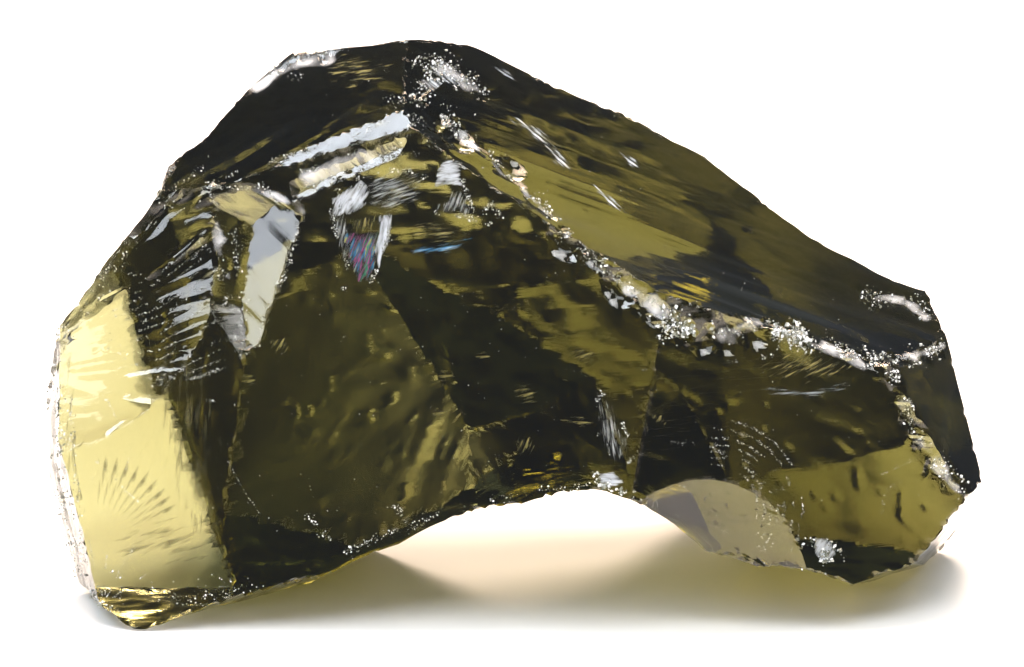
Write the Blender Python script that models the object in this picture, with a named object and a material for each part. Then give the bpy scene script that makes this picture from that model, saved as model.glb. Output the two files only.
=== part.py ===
"""Brazilianite: one broken piece of clear yellow-green crystal, standing on its two feet.

The crystal has no flat growth faces left. It is bounded by fracture faces, so it is made the way it
broke. A ball of triangles stands inside the rough, and every corner of it moves straight out from the
core until it meets the first fracture face. A face is flat or slightly hollow. A flake is a shallow
scar with a floor and walls of its own, and it only counts where all of its faces have been passed.

Lengths are in millimetres up to the last step, which writes the mesh in metres. X runs to the right, Y
to the back and Z up. The outline is drawn on a sketch plane that leans back by LEAN, with its middle
MIDDLE_HEIGHT above the surface that the crystal rests on: a sketch place is (across, up, y).
"""
import math
from collections import namedtuple

import bmesh
import bpy
import numpy as np

NAME = "crystal"
MM = 0.001

# Driving dimensions
LEAN = math.radians(15.0)
MIDDLE_HEIGHT = 12.0
CORE = (-1.0, 0.5, 12.0)
WALL_TURN = 45.0            # degrees, walls of the back behind the front face
TOP_HOLLOW = (0.01, 0.01)   # 1/mm, curvature of the upper back
SPLITS = 11                 # each face of the icosahedron is first split SPLITS x SPLITS
SMOOTHING_ROUNDS = (90, 40)  # for the coarse ball, and again after it is halved
RIDGE_ROUNDS = 3
RIDGE_HALVINGS = 16         # steps that close in on a ridge between two corners
FAR = 1.0e6                 # a ray that never meets a face
OUTSIDE = -60.0             # y of a place well in front of the crystal
HALVINGS = 60               # steps that close in on a place of a face
FLAT = 1.0e-12              # curvature below this counts as none
NEAREST = 1.0e-6            # a meeting nearer than this is the start of the ray itself

COLOUR = (0.30, 0.27, 0.07, 1.0)
ROUGHNESS = 0.06

# Places that need smaller triangles: sketch place, radius, how much denser
DENSE = (
    ((-7.2, 8.0, -3.5), 3.6, 4.0),      # ledges under the peak
    ((-11.2, 3.2, -2.5), 3.0, 1.5),     # kite facet
    ((9.2, -8.0, -5.5), 4.0, 1.0),      # scar over the right foot
)

Face = namedtuple("Face", "name point outward along hollow flake")


def unit(vector):
    """Vector, or rows of vectors, of length 1."""
    vector = np.asarray(vector, float)
    return vector / np.linalg.norm(vector, axis=-1, keepdims=True)


def place(across, up, y):
    """World point of a sketch place."""
    return np.array((across, y, MIDDLE_HEIGHT + (up - y * math.sin(LEAN)) / math.cos(LEAN)))


def direction(right, rise, toward=0.0):
    """World direction from right and rise on the sketch plane, and toward its front."""
    in_plane = np.array((right, rise * math.sin(LEAN), rise * math.cos(LEAN)))
    return unit(in_plane + toward * np.array((0.0, -math.cos(LEAN), math.sin(LEAN))))


def face(name, point, outward, hollow=(0.0, 0.0), along=(1.0, 0.1, 0.05), flake=None):
    """Fracture face through a world point; hollow is its curvature in 1/mm, along and across."""
    outward = unit(outward)
    along = np.asarray(along, float)
    along = unit(along - outward * (along @ outward))
    return Face(name, np.asarray(point, float), outward, along, hollow, flake)


def rim(name, across, up, y, right, rise, hollow=0.0, toward=0.0):
    """Edge face of the outline, square to the sketch plane unless it turns toward the front."""
    along = direction(-rise, right)
    return face(name, place(across, up, y), direction(right, rise, toward), (hollow, 0.0), along)


def back(name, point, turn, lean, hollow=(0.0, 0.0), flake=None):
    """Face of the back: degrees turned to the right and leaned up from one that looks straight back."""
    turn, lean = math.radians(turn), math.radians(lean)
    level = math.cos(lean)
    outward = (level * math.sin(turn), level * math.cos(turn), math.sin(lean))
    return face(name, point, outward, hollow, flake=flake)


def on_face(surface, across, up, sink=0.0):
    """World point where the line square to the sketch plane meets a face, sunk below it."""
    ray = np.array((0.0, math.cos(LEAN), -math.sin(LEAN)))
    start = place(across, up, OUTSIDE)
    sideways = np.cross(surface.outward, surface.along)

    def height(step):
        offset = start + ray * step - surface.point
        bow = surface.hollow[0] * (offset @ surface.along) ** 2
        bow += surface.hollow[1] * (offset @ sideways) ** 2
        return offset @ surface.outward - 0.5 * bow

    near, away = 0.0, -2.0 * OUTSIDE
    for _ in range(HALVINGS):
        middle = 0.5 * (near + away)
        if height(middle) > 0.0:
            near = middle
        else:
            away = middle
    return start + ray * near - surface.outward * sink


def through(name, a, b, c, sink=0.0, hollow=(0.0, 0.0), along=(1.0, 0.0, 0.0)):
    """Face through three points, its hollow floor sunk below their plane, looking up."""
    outward = unit(np.cross(b - a, c - a))
    if outward[2] < 0.0:
        outward = -outward
    return face(name, (a + b + c) / 3.0 - outward * sink, outward, hollow, along)


def walls(name, corners, lean, first, open_walls=()):
    """Walls of a flake, straight down to the core along its outline and leaning open."""
    result = []
    middle = np.mean(corners, axis=0)
    for i in range(first, len(corners)):
        if i in open_walls:
            continue
        a, b = corners[i], corners[(i + 1) % len(corners)]
        outer = unit(0.5 * (a + b) - np.array(CORE))
        inward = unit(np.cross(b - a, outer))
        if (middle - a) @ inward < 0.0:
            inward = -inward
        result.append(face(name, 0.5 * (a + b), inward + lean * outer, along=b - a, flake=name))
    return result


def turned(vector, axis, angle):
    """Vector turned about an axis."""
    axis = unit(axis)
    kept = axis * (axis @ vector)
    return kept + (vector - kept) * math.cos(angle) + np.cross(axis, vector) * math.sin(angle)


def hinged_flake(name, parent, outline, turn, open_walls=(), lean=0.05):
    """Flake whose floor leaves the parent face along the outline's first edge, turned by degrees."""
    corners = [on_face(parent, across, up) for across, up in outline]
    hinge = corners[1] - corners[0]
    floor = turned(parent.outward, hinge, math.radians(turn))
    if (np.mean(corners, axis=0) - corners[0]) @ floor < 0.0:
        floor = turned(parent.outward, hinge, math.radians(-turn))
    start = 0.5 * (corners[0] + corners[1])
    return [face(name, start, floor, along=hinge, flake=name)] + walls(name, corners, lean, 1, open_walls)


def sunk_flake(name, parent, outline, middle, outward, depth, hollow, open_walls, lean=0.2):
    """Flake with a hollow floor at a depth below the parent face."""
    corners = [on_face(parent, across, up) for across, up in outline]
    floor = face(name, on_face(parent, *middle, sink=depth), outward, hollow, flake=name)
    return [floor] + walls(name, corners, lean, 0, open_walls)


def front_faces():
    """The large faces that look to the front and up."""
    left = face("front_left", place(-8.15, -2.95, -4.6), (-0.20, -1.0, 0.27), (0.006, 0.004))
    right = face("front_right", place(12.4, -4.75, -6.2), (0.33, -1.0, 0.17), (-0.002, 0.004))
    roof_right = through("roof_right", on_face(left, 1.45, 5.5), on_face(right, 12.4, -0.2),
                         place(7.5, 8.85, 5.0), 0.45, (0.0, 0.045), (0.9, 0.2, -0.45))
    roof_left = through("roof_left", on_face(left, -10.15, 7.75), on_face(left, -3.45, 10.1),
                        place(-9.45, 12.95, 4.2), 0.15, (0.0, 0.02))
    right_end = face("right_end", on_face(right, 18.45, -4.3), (0.80, -0.42, 0.446))
    scar = face("scar_right", on_face(right, 8.95, -8.0, 0.9), (0.20, -0.95, -0.25), (0.13, 0.13))
    result = [left, right, roof_right, roof_left, right_end, scar]
    result += sunk_flake("shoulder", left, ((-13.7, 6.2), (-13.25, 3.2), (-12.25, -0.05), (-14.85, -2.25),
                                            (-17.95, -2.25), (-20.2, 0.15), (-18.4, 5.95)),
                         (-15.3, 1.95), (-0.43, -0.86, 0.31), 0.75, (0.05, 0.04), (2, 3, 4, 5, 6))
    kite = hinged_flake("kite", left, ((-9.45, 5.3), (-11.15, -0.5), (-12.4, -0.75), (-13.7, 1.5),
                                       (-13.8, 5.9), (-12.15, 6.6), (-10.45, 5.95)), 20.0)
    kite.append(face("kite", on_face(left, -12.6, 3.0, 0.8), left.outward, flake="kite"))
    result += kite
    result += hinged_flake("ledge_upper", left, ((-10.4, 7.1), (-3.4, 9.6), (-2.9, 10.6), (-10.6, 9.5)),
                           28.0, (2,))
    result += hinged_flake("ledge_lower", left, ((-9.7, 5.7), (-5.0, 8.0), (-4.7, 8.9), (-9.9, 6.8)), 30.0)
    return result


def outline_faces():
    """The faces along the outline, clockwise from the left end, and the two flat feet."""
    down = (0.0, 0.0, -1.0)
    return [
        rim("rim_left", -20.55, -2.95, 0.0, -0.90, 0.02, -0.01, 0.10),
        rim("edge_left_d", -19.95, 1.35, 1.0, -0.84, 0.54, 0.0, -0.03),
        rim("edge_left_c", -18.25, 3.35, 1.5, -0.57, 0.82, 0.27),
        rim("edge_left_b", -16.15, 5.8, 1.5, -0.86, 0.50, 0.12),
        rim("edge_left_a", -14.3, 8.35, 2.0, -0.58, 0.81, 0.20),
        rim("edge_top_left_b", -12.3, 10.45, 2.5, -0.74, 0.67, 0.03),
        rim("edge_top_left_a", -10.8, 11.85, 3.0, -0.62, 0.79),
        rim("edge_top_left", -7.25, 12.85, 3.5, -0.09, 0.99, 0.0, -0.05),
        rim("edge_top", -2.75, 13.0, 4.0, 0.10, 0.99, -0.02, -0.05),
        rim("edge_right_e", 1.45, 11.25, 5.0, 0.41, 0.91, 0.02, -0.06),
        rim("edge_right_d", 6.15, 9.2, 5.0, 0.44, 0.90, 0.0, -0.06),
        rim("edge_right_c", 10.05, 6.85, 6.0, 0.60, 0.79, 0.05, -0.03),
        rim("edge_right_b", 13.4, 4.35, 5.0, 0.53, 0.85, 0.06, -0.03),
        rim("edge_right_a", 16.9, 2.4, 5.0, 0.40, 0.91, 0.10, -0.05),
        rim("rim_right_upper", 19.45, -0.05, 0.5, 0.94, 0.34, 0.0, -0.05),
        rim("rim_right", 20.45, -4.75, 1.5, 0.97, 0.23, 0.0, -0.05),
        rim("rim_right_lower", 19.95, -8.8, 3.0, 0.78, -0.62, 0.0, 0.08),
        rim("foot_right_side", 17.1, -10.85, 0.0, 0.32, -0.95, 0.0, 0.05),
        face("foot_right", (15.0, 5.0, 0.0), down),
        rim("belly", 11.75, -10.4, 0.0, 0.0, -1.0, 0.15),
        rim("arch_f", 9.05, -9.95, 0.0, -0.42, -0.90, 0.10),
        rim("arch_e", 5.1, -7.4, -6.0, 0.0, -1.0, 0.42, -0.12),
        rim("arch_d", 3.4, -6.7, -6.0, 0.02, -0.99, 0.25, -0.12),
        rim("arch_c", 1.45, -7.05, -6.0, 0.20, -0.98, 0.20, -0.12),
        rim("arch_b", -1.9, -7.95, 0.0, 0.26, -0.96, 0.10),
        rim("arch_a", -7.0, -10.15, 0.0, 0.42, -0.90, 0.06),
        rim("foot_left_front", -11.7, -12.0, 0.0, 0.27, -0.96, 0.02, 0.05),
        face("foot_left", (-16.0, 0.0, 0.0), down),
        rim("foot_left_side", -18.65, -11.9, 0.0, -0.60, -0.80),
        rim("rim_left_lower", -19.8, -9.5, -0.5, -0.90, -0.22, 0.0, 0.15),
    ]


def back_faces():
    """The back: walls turned by WALL_TURN behind the front, sloping faces above, and a thinned left end."""
    return [
        back("back_top", (-1.0, 8.0, 26.0), -35.0, 40.0, TOP_HOLLOW),
        back("back_upper_left", (-14.0, 5.0, 20.0), -70.0, 25.0, TOP_HOLLOW),
        back("back_corner", (11.0, 8.0, 13.0), 10.0, 30.0),
        back("back_right", (5.0, 10.0, 11.0), 20.0, 20.0),
        back("back_low_right", (15.0, 9.0, 9.0), 25.0, 0.0),
        back("back_left", (-17.0, 8.0, 11.0), -WALL_TURN, 0.0),
        back("undercut", (1.0, 8.0, 13.0), -WALL_TURN, -15.0, (0.03, 0.0), "undercut"),
        back("undercut_left", (-5.0, 6.0, 0.0), WALL_TURN, -10.0, flake="undercut"),
        back("undercut_right", (9.0, 3.0, 0.0), -WALL_TURN, -50.0, flake="undercut"),
        back("thin_end", (-18.0, 4.0, 8.0), 0.0, -25.0, flake="thin_end"),
        back("thin_end_step", (-15.0, 4.0, 7.0), -90.0, -20.0, flake="thin_end"),
    ]


def meet(surface, rays):
    """Distance from the core along each ray to one face."""
    sideways = np.cross(surface.outward, surface.along)
    offset = np.array(CORE) - surface.point
    bow_along, bow_side = surface.hollow
    along0, side0 = offset @ surface.along, offset @ sideways
    along1, side1 = rays @ surface.along, rays @ sideways
    square = 0.5 * (bow_along * along1 ** 2 + bow_side * side1 ** 2)
    linear = bow_along * along0 * along1 + bow_side * side0 * side1 - rays @ surface.outward
    constant = 0.5 * (bow_along * along0 ** 2 + bow_side * side0 ** 2) - offset @ surface.outward
    inside = linear ** 2 - 4.0 * square * constant
    root = np.sqrt(np.maximum(inside, 0.0))
    half = -0.5 * (linear + np.where(linear >= 0.0, root, -root))
    with np.errstate(divide="ignore", invalid="ignore"):
        first = np.where(np.abs(square) > FLAT, half / square, FAR)
        second = np.where(np.abs(half) > FLAT, constant / half, FAR)
    first = np.where((inside >= 0.0) & (first > NEAREST), first, FAR)
    second = np.where((inside >= 0.0) & (second > NEAREST), second, FAR)
    passed = (constant < 0.0) & (rays @ surface.outward > 0.0)
    return np.where(passed, 0.0, np.minimum(first, second))


def group_flakes(faces):
    """Lists of face numbers: one for each plain face and one for each flake."""
    groups = {}
    for number, surface in enumerate(faces):
        key = surface.flake or "face_%d" % number
        groups.setdefault(key, []).append(number)
    return list(groups.values())


def reach(faces, rays):
    """Distance from the core to the crystal's surface along each ray, and the face met there."""
    distance = np.full(len(rays), FAR)
    met = np.zeros(len(rays), int)
    for members in group_flakes(faces):
        depth = np.zeros(len(rays))
        which = np.full(len(rays), members[0])
        for number in members:
            one = meet(faces[number], rays)
            deeper = one > depth
            depth[deeper] = one[deeper]
            which[deeper] = number
        nearer = depth < distance
        distance[nearer] = depth[nearer]
        met[nearer] = which[nearer]
    return distance, met


def ball():
    """Directions and triangles of an evenly split icosahedron."""
    bm = bmesh.new()
    bmesh.ops.create_icosphere(bm, subdivisions=1, radius=1.0)
    bmesh.ops.subdivide_edges(bm, edges=bm.edges[:], cuts=SPLITS - 1, use_grid_fill=True)
    bmesh.ops.triangulate(bm, faces=bm.faces[:])
    bm.verts.index_update()
    rays = unit([vert.co[:] for vert in bm.verts])
    triangles = np.array([[vert.index for vert in item.verts] for item in bm.faces])
    bm.free()
    return rays, triangles


def halved(rays, triangles):
    """The same ball with each triangle split into four at the middles of its edges."""
    edges = edges_of(triangles)
    number = {tuple(edge): len(rays) + k for k, edge in enumerate(edges.tolist())}
    split = []
    for a, b, c in triangles.tolist():
        ab, bc, ca = (number[min(pair), max(pair)] for pair in ((a, b), (b, c), (c, a)))
        split += [(a, ab, ca), (ab, b, bc), (ca, bc, c), (ab, bc, ca)]
    return np.concatenate((rays, unit(rays[edges].sum(axis=1)))), np.array(split)


def edges_of(triangles):
    """Each edge once."""
    pairs = np.concatenate((triangles[:, (0, 1)], triangles[:, (1, 2)], triangles[:, (2, 0)]))
    return np.unique(np.sort(pairs, axis=1), axis=0)


def density(points):
    """How much smaller the triangles are wanted at each point."""
    result = np.ones(len(points))
    for sketch, radius, gain in DENSE:
        distance = np.linalg.norm(points - place(*sketch), axis=1)
        result += gain * np.exp(-(distance / radius) ** 2)
    return result


def spread(faces, rays, edges, rounds):
    """Move the rays so that the triangles are even on the surface, and smaller where it is detailed."""
    core = np.array(CORE)
    for _ in range(rounds):
        points = core + rays * reach(faces, rays)[0][:, None]
        ends = points[edges]
        pull = np.linalg.norm(ends[:, 0] - ends[:, 1], axis=1) * density(ends.mean(axis=1))
        total = np.zeros_like(points)
        weight = np.zeros(len(points))
        for here, there in ((0, 1), (1, 0)):
            np.add.at(total, edges[:, here], ends[:, there] * pull[:, None])
            np.add.at(weight, edges[:, here], pull)
        rays = unit(0.5 * (total / weight[:, None] + points) - core)
    return rays


def even_ball(faces):
    """Rays and triangles spread over the crystal, from a coarse ball halved again and again."""
    rays, triangles = ball()
    for halving, rounds in enumerate(SMOOTHING_ROUNDS):
        if halving:
            rays, triangles = halved(rays, triangles)
        edges = edges_of(triangles)
        rays = spread(faces, rays, edges, rounds)
    return sharpen(faces, rays, edges), triangles


def sharpen(faces, rays, edges):
    """Move the corners next to a ridge onto it, so that ridges are edges of the mesh."""
    for _ in range(RIDGE_ROUNDS):
        met = reach(faces, rays)[1]
        crossing = edges[met[edges[:, 0]] != met[edges[:, 1]]]
        low, high = np.zeros(len(crossing)), np.ones(len(crossing))
        start, end = rays[crossing[:, 0]], rays[crossing[:, 1]]
        for _ in range(RIDGE_HALVINGS):
            share = 0.5 * (low + high)
            middle = unit(start * (1.0 - share)[:, None] + end * share[:, None])
            still = reach(faces, middle)[1] == met[crossing[:, 0]]
            low = np.where(still, share, low)
            high = np.where(still, high, share)
        ridge = unit(start * (1.0 - low)[:, None] + end * low[:, None])
        corner = np.where(low < 0.5, crossing[:, 0], crossing[:, 1])
        far = np.minimum(low, 1.0 - low)
        order = np.argsort(-far)
        rays = rays.copy()
        rays[corner[order]] = ridge[order]
    return rays


def crystal_mesh():
    """The crystal's mesh in metres, with its feet at height 0 and the middle of its box over 0, 0."""
    faces = front_faces() + outline_faces() + back_faces()
    rays, triangles = even_ball(faces)
    points = np.array(CORE) + rays * reach(faces, rays)[0][:, None]
    low, high = points.min(axis=0), points.max(axis=0)
    points -= ((low[0] + high[0]) / 2.0, (low[1] + high[1]) / 2.0, low[2])
    mesh = bpy.data.meshes.new(NAME)
    mesh.from_pydata((points * MM).tolist(), [], triangles.tolist())
    mesh.validate()
    mesh.update()
    return mesh


def crystal_material():
    """Clear yellow-green crystal, shown solid."""
    material = bpy.data.materials.new("brazilianite_crystal")
    material.use_nodes = True
    shader = material.node_tree.nodes["Principled BSDF"]
    shader.inputs["Base Color"].default_value = COLOUR
    shader.inputs["Roughness"].default_value = ROUGHNESS
    shader.inputs["Metallic"].default_value = 0.0
    return material


def main():
    for old in list(bpy.data.objects):
        bpy.data.objects.remove(old, do_unlink=True)
    mesh = crystal_mesh()
    mesh.materials.append(crystal_material())
    crystal = bpy.data.objects.new(NAME, mesh)
    bpy.context.scene.collection.objects.link(crystal)


main()
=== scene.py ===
"""Brazilianite, dressed: the broken crystal as clear, tinted mineral with its fracture marks.

The frame holds one CAD node, "crystal". This script makes the same fracture faces again, with far
smaller triangles, and adds what a solid doesn't carry: ripples, hackles, chips and crushed ridges, the
clear tinted material, the veils of cracks just under the faces, dark sheets of painted shade over the
glowing left end, pale sheets of painted reflection on the roof, gold flecks that paint glints, white
crumbs and dust.

Lengths are in millimetres up to the step that writes a mesh, which writes metres. X runs to the right,
Y to the back and Z up. Places are drawn on a sketch plane that leans back by LEAN, with its middle
MIDDLE_HEIGHT above the surface that the crystal rests on: a sketch place is (across, up, y).
"""

import math
from collections import namedtuple

import bmesh
import bpy
import numpy as np
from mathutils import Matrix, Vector
from mathutils.bvhtree import BVHTree


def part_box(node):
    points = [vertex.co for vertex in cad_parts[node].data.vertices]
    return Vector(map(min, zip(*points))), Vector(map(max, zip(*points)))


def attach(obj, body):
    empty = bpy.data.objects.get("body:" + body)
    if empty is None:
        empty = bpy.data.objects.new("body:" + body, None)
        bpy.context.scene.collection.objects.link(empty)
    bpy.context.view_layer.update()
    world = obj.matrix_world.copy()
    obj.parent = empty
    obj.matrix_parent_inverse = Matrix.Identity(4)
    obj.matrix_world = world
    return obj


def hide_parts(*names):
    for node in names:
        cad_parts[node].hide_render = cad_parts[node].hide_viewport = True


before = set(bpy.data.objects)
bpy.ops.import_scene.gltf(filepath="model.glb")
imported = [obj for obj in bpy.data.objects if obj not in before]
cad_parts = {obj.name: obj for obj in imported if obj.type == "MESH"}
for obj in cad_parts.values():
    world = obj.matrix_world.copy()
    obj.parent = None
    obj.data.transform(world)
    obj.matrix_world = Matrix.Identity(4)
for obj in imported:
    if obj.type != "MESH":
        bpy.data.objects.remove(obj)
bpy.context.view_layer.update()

NODE = "crystal"
MM = 0.001

# Driving dimensions, the same as the solid's
LEAN = math.radians(15.0)
MIDDLE_HEIGHT = 12.0
CORE = (-1.0, 0.5, 12.0)
EYE = np.array((0.0, math.cos(LEAN), -math.sin(LEAN)))  # direction in which the camera looks
WALL_TURN = 45.0            # degrees, walls of the back behind the front face
TOP_HOLLOW = (0.01, 0.01)   # 1/mm, curvature of the upper back
RIDGE_ROUNDS = 2
RIDGE_HALVINGS = 14         # steps that close in on a ridge between two corners
FAR = 1.0e6                 # a ray that never meets a face
OUTSIDE = -60.0             # y of a place well in front of the crystal
HALVINGS = 50               # steps that close in on a place of a face
FLAT = 1.0e-12              # curvature below this counts as none
NEAREST = 1.0e-6            # a meeting nearer than this is the start of the ray itself
OCTAVES = 3                 # sizes of swells in rough noise
HASH_PRIMES = (73856093, 19349663, 83492791)
HASH_SEED = 40503
HASH_FACTOR = 739982445
HASH_SHIFT = 15
HASH_MASK = 0xFFFFFFFF

# Driving dimensions of the dressed surface
SPLITS = 11                 # each face of the icosahedron is first split SPLITS x SPLITS
SMOOTHING_ROUNDS = (90, 40, 20, 8)  # for the coarse ball, and again after each halving
BACK_NAMES = ("back", "thin", "undercut")
BACK_SWELL = 0.22           # mm that the back faces swell
BACK_SWELLS = 3.2           # swells for each radian seen from the core
FINER_SWELLS = 3.0          # times as many finer swells, with FINER_SHARE of the height
FINER_SHARE = 0.6
BACK_SEEDS = (27, 29)       # of the swells and of the finer ones
SHARP_ANGLE = 18.0          # degrees between triangles, from which an edge shows as sharp
GRAZING = 0.35              # least cosine between a ray and the face that it meets

# Swells of each face: depth in mm, turn of their run in degrees, length and width in mm, seed
LEDGE_SWELLS = ((0.020, 5.0, 2.0, 0.5, 23),)
SWELLS = {
    "front_left": ((0.018, 0.0, 5.0, 1.1, 11), (0.009, 4.0, 2.2, 0.35, 12)),
    "front_right": ((0.012, 0.0, 4.0, 3.0, 13),),
    "roof_right": ((0.060, 0.0, 7.0, 1.0, 14), (0.018, 0.0, 4.0, 0.35, 15)),
    "roof_left": ((0.080, 20.0, 4.5, 1.2, 16), (0.020, 24.0, 2.5, 0.35, 29)),
    "shoulder": ((0.030, 10.0, 3.0, 0.5, 18),),
    "scar_right": ((0.020, 20.0, 2.0, 2.0, 20),),
    "right_end": ((0.030, 70.0, 4.0, 0.9, 21),),
    "kite": ((0.030, 65.0, 3.0, 0.9, 22), (0.014, 65.0, 1.6, 0.28, 30)),
    "ledge_upper": LEDGE_SWELLS,
    "ledge_lower": LEDGE_SWELLS,
    "thin_end": ((0.030, -60.0, 3.0, 0.5, 33),),
    "back": ((0.020, 10.0, 4.0, 1.3, 24), (0.014, 4.0, 2.0, 0.5, 28)),
    "rim": (),
}

# Other marks, in mm; a fan's spacing is in degrees
SHOULDER_FAN = (-23.5, -2.0)
SHOULDER_SPACING = 2.6
SHOULDER_DEPTH = 0.10
SHOULDER_SEED = 17
FAN_LENGTH = 9.0            # mm along a hackle until it changes
FAN_WANDER = 0.8            # spacings that a hackle wanders, over swells of this size
FAN_SWELL = (2.0, 1.2)
SCAR_MIDDLE = (8.5, -7.7)
SCAR_SPACING = 0.42
SCAR_DEPTH = 0.060
SCAR_SEED = 19
SCAR_SHOWN = (1.8, 2.8, 4.5, 6.5)   # ripples start, are full, start to fade, are gone
RIPPLE_RISE = 0.7           # share of a ripple that rises
RIPPLE_WANDER = 0.9         # spacings that a ripple wanders, over swells of this size
RIPPLE_SWELL = 2.5
LUMPS = {"thin_end": (0.05, 2.6, 32), "rim": (0.11, 1.6, 26)}   # depth, size, seed
PIT_SIZE = 0.55
PIT_START = 0.45            # noise from which a pit is sunk
PIT_DEPTH = 0.16
PIT_SEED = 25

# Fine streaks that the material draws: turn in degrees and how much closer they lie on some faces
STREAK_TURNS = {"kite": 65.0, "shoulder": 12.0, "right_end": 70.0, "ledge_upper": 5.0, "ledge_lower": 5.0}
STREAK_CROWDS = {"kite": 1.7, "ledge_upper": 1.5, "ledge_lower": 1.5}
STREAK_DEPTH = 0.004        # mm, of the fine streaks
STREAK_SIZE = (0.5, 5.0, 1.0)   # streaks for each mm along and across their run
STREAK_NOISE = (4.0, 0.2)   # detail and distortion of their noise

# Look of the crystal
POLISHED = 0.02             # roughness of the front and of the back
FROSTED = 0.20
IOR = 1.61
TINT = (0.93, 0.95, 0.98, 1.0)
CLEAR_FROM, CLEAR_TO = 0.3, 0.9     # crushed this much it starts to cloud, and is as cloudy as it gets
CLOUDY = 0.35               # transmission of crushed crystal

# Clear crystal: absorption per metre for red, green and blue
ABSORPTION = (158.0, 162.0, 278.0)

# Stage, in metres
FLOOR_HEIGHT = -0.0001
FLOOR_CORNERS = ((-0.8, -0.8), (0.8, -0.8), (0.8, 0.8), (-0.8, 0.8))
FLOOR_COLOUR = (0.86, 0.86, 0.86, 1.0)
FLOOR_ROUGHNESS = 0.9
CAMERA_DISTANCE = 0.60
CLIP_START = 0.01
BOUNCES = 24
GLOSSY_BOUNCES = 12
SENSOR = 36.0               # mm
PICTURE_WIDTH = 0.04575     # width that the picture takes in at the crystal
WORLD_COLOUR = (0.5, 0.55, 0.62, 1.0)
WORLD_STRENGTH = 0.38
CRYSTAL_MIDDLE = (0.0, 0.0, MIDDLE_HEIGHT * MM)
COOL = (0.86, 0.92, 1.0)
WARM = (1.0, 0.78, 0.60)
WHITE = (1.0, 1.0, 1.0)
# Lamps: name, place, target, size, spread in degrees, watts, colour
LIGHTS = (
    ("window_above", (-0.21, -0.067, 0.30), CRYSTAL_MIDDLE, (0.13, 0.13), 70.0, 0.11, COOL),
    ("window_left", (-0.32, -0.155, 0.12), CRYSTAL_MIDDLE, (0.08, 0.08), 70.0, 0.022, COOL),
    ("window_front", (-0.15, -0.375, 0.30), CRYSTAL_MIDDLE, (0.30, 0.10), 120.0, 0.16, COOL),
    ("table_light", (0.0, 0.05, 0.50), (0.0, 0.05, 0.0), (0.40, 0.30), 60.0, 0.76, WARM),
    ("back_light", (0.0, 0.38, 0.36), (0.0, 0.03, 0.0), (0.25, 0.20), 60.0, 0.46, WARM),
    ("front_fill", (0.10, -0.30, 0.45), (0.0, 0.0, 0.0), (0.40, 0.30), 60.0, 0.48, WHITE),
)

FRONT_GAIN = 0.8            # how much denser the triangles of the front are
FRONT_FADE = 5.0            # y in mm where that has faded
# Places that need smaller triangles: sketch place, radius, how much denser
DENSE = (
    ((-7.2, 8.0, -3.5), 3.6, 1.5),      # ledges under the peak
    ((9.2, -8.0, -5.5), 4.0, 0.8),      # scar over the right foot
    ((-15.5, 2.0, -3.5), 4.0, 1.0),     # hackles of the shoulder
)

# Crushed ridges: path of sketch places (across, up), width and depth in mm
RIDGE = ((-3.7, 9.9), (-3.0, 9.5), (-1.4, 8.2), (0.4, 6.6), (1.5, 5.5), (2.6, 4.2), (4.4, 2.6), (6.2, 1.3),
         (7.1, 0.4), (8.4, -0.1), (10.2, 0.15), (12.0, 0.4), (14.2, -0.5), (16.0, -1.2), (16.9, -1.3),
         (18.2, -1.0), (19.3, -0.5))
RIGHT_RIDGE = ((17.1, -2.1), (18.2, -4.8), (19.2, -6.0), (20.2, -7.0))
PEAK = ((-4.1, 10.5), (-3.8, 11.6), (-3.2, 12.0), (-2.2, 11.3), (-1.2, 10.7))
TOP_LEFT = ((-11.5, 11.1), (-10.6, 11.9), (-9.4, 12.3), (-8.2, 12.4))
KITE_BAND = ((-13.4, 6.8), (-13.5, 5.5), (-13.2, 3.7), (-12.7, 1.9), (-12.3, 0.2))
KITE_TOP = ((-13.3, 6.7), (-12.0, 6.5), (-10.6, 6.2), (-9.4, 5.4))
LEDGE_BAND = ((-9.6, 6.8), (-8.5, 7.2), (-7.0, 7.8), (-5.2, 8.4))
UPPER_RIGHT = ((15.6, 1.9), (16.7, 1.5), (18.0, 1.5), (18.7, 0.7))
LEFT_RIM = ((-19.3, 1.2), (-20.4, -1.0), (-20.6, -4.0), (-20.4, -7.0), (-19.6, -9.6))
CRUSHED = (
    (RIDGE, 0.24, 0.14),
    (RIDGE[7:14], 0.55, 0.25),
    (RIGHT_RIDGE, 0.40, 0.22),
    (PEAK, 0.45, 0.14),
    (TOP_LEFT, 0.45, 0.14),
    (KITE_BAND, 0.30, 0.14),
    (KITE_TOP, 0.22, 0.10),
    (UPPER_RIGHT, 0.35, 0.14),
    (LEDGE_BAND, 0.50, 0.08),
    (LEFT_RIM, 0.50, 0.16),
)
CRUSH_SHARE = 0.45          # how much of a crushed ridge is white
CRUSH_BLOCK = 0.45          # mm, size of its broken blocks
BLOCK_WANDER = 0.35         # blocks that their sides wander
CRUSH_PATCH = 0.9           # mm, size of its white patches
BLOCK_SEED = 31
PATCH_SEED = 33
GRAIN_CLUSTER = 0.7         # mm, size of the clusters of grains
GRAIN_GAPS = -0.05          # higher leaves more gaps between the clusters
CLUSTER_SEED = 35
CRUSH_SEEDS = (3, 4, 5)     # of the lines, the patches and the grains themselves
DUST_SEEDS = (6, 7)         # of the patches and the grains
GRAIN_STRETCH = (0.4, 1.0)  # share of its size along each axis
GRAIN_UNEVEN = (0.7, 1.3)   # share that each of its corners stands off
GRAIN_HEIGHT = (-0.5, 0.3)  # how far its middle stands off the surface, in sizes
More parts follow.
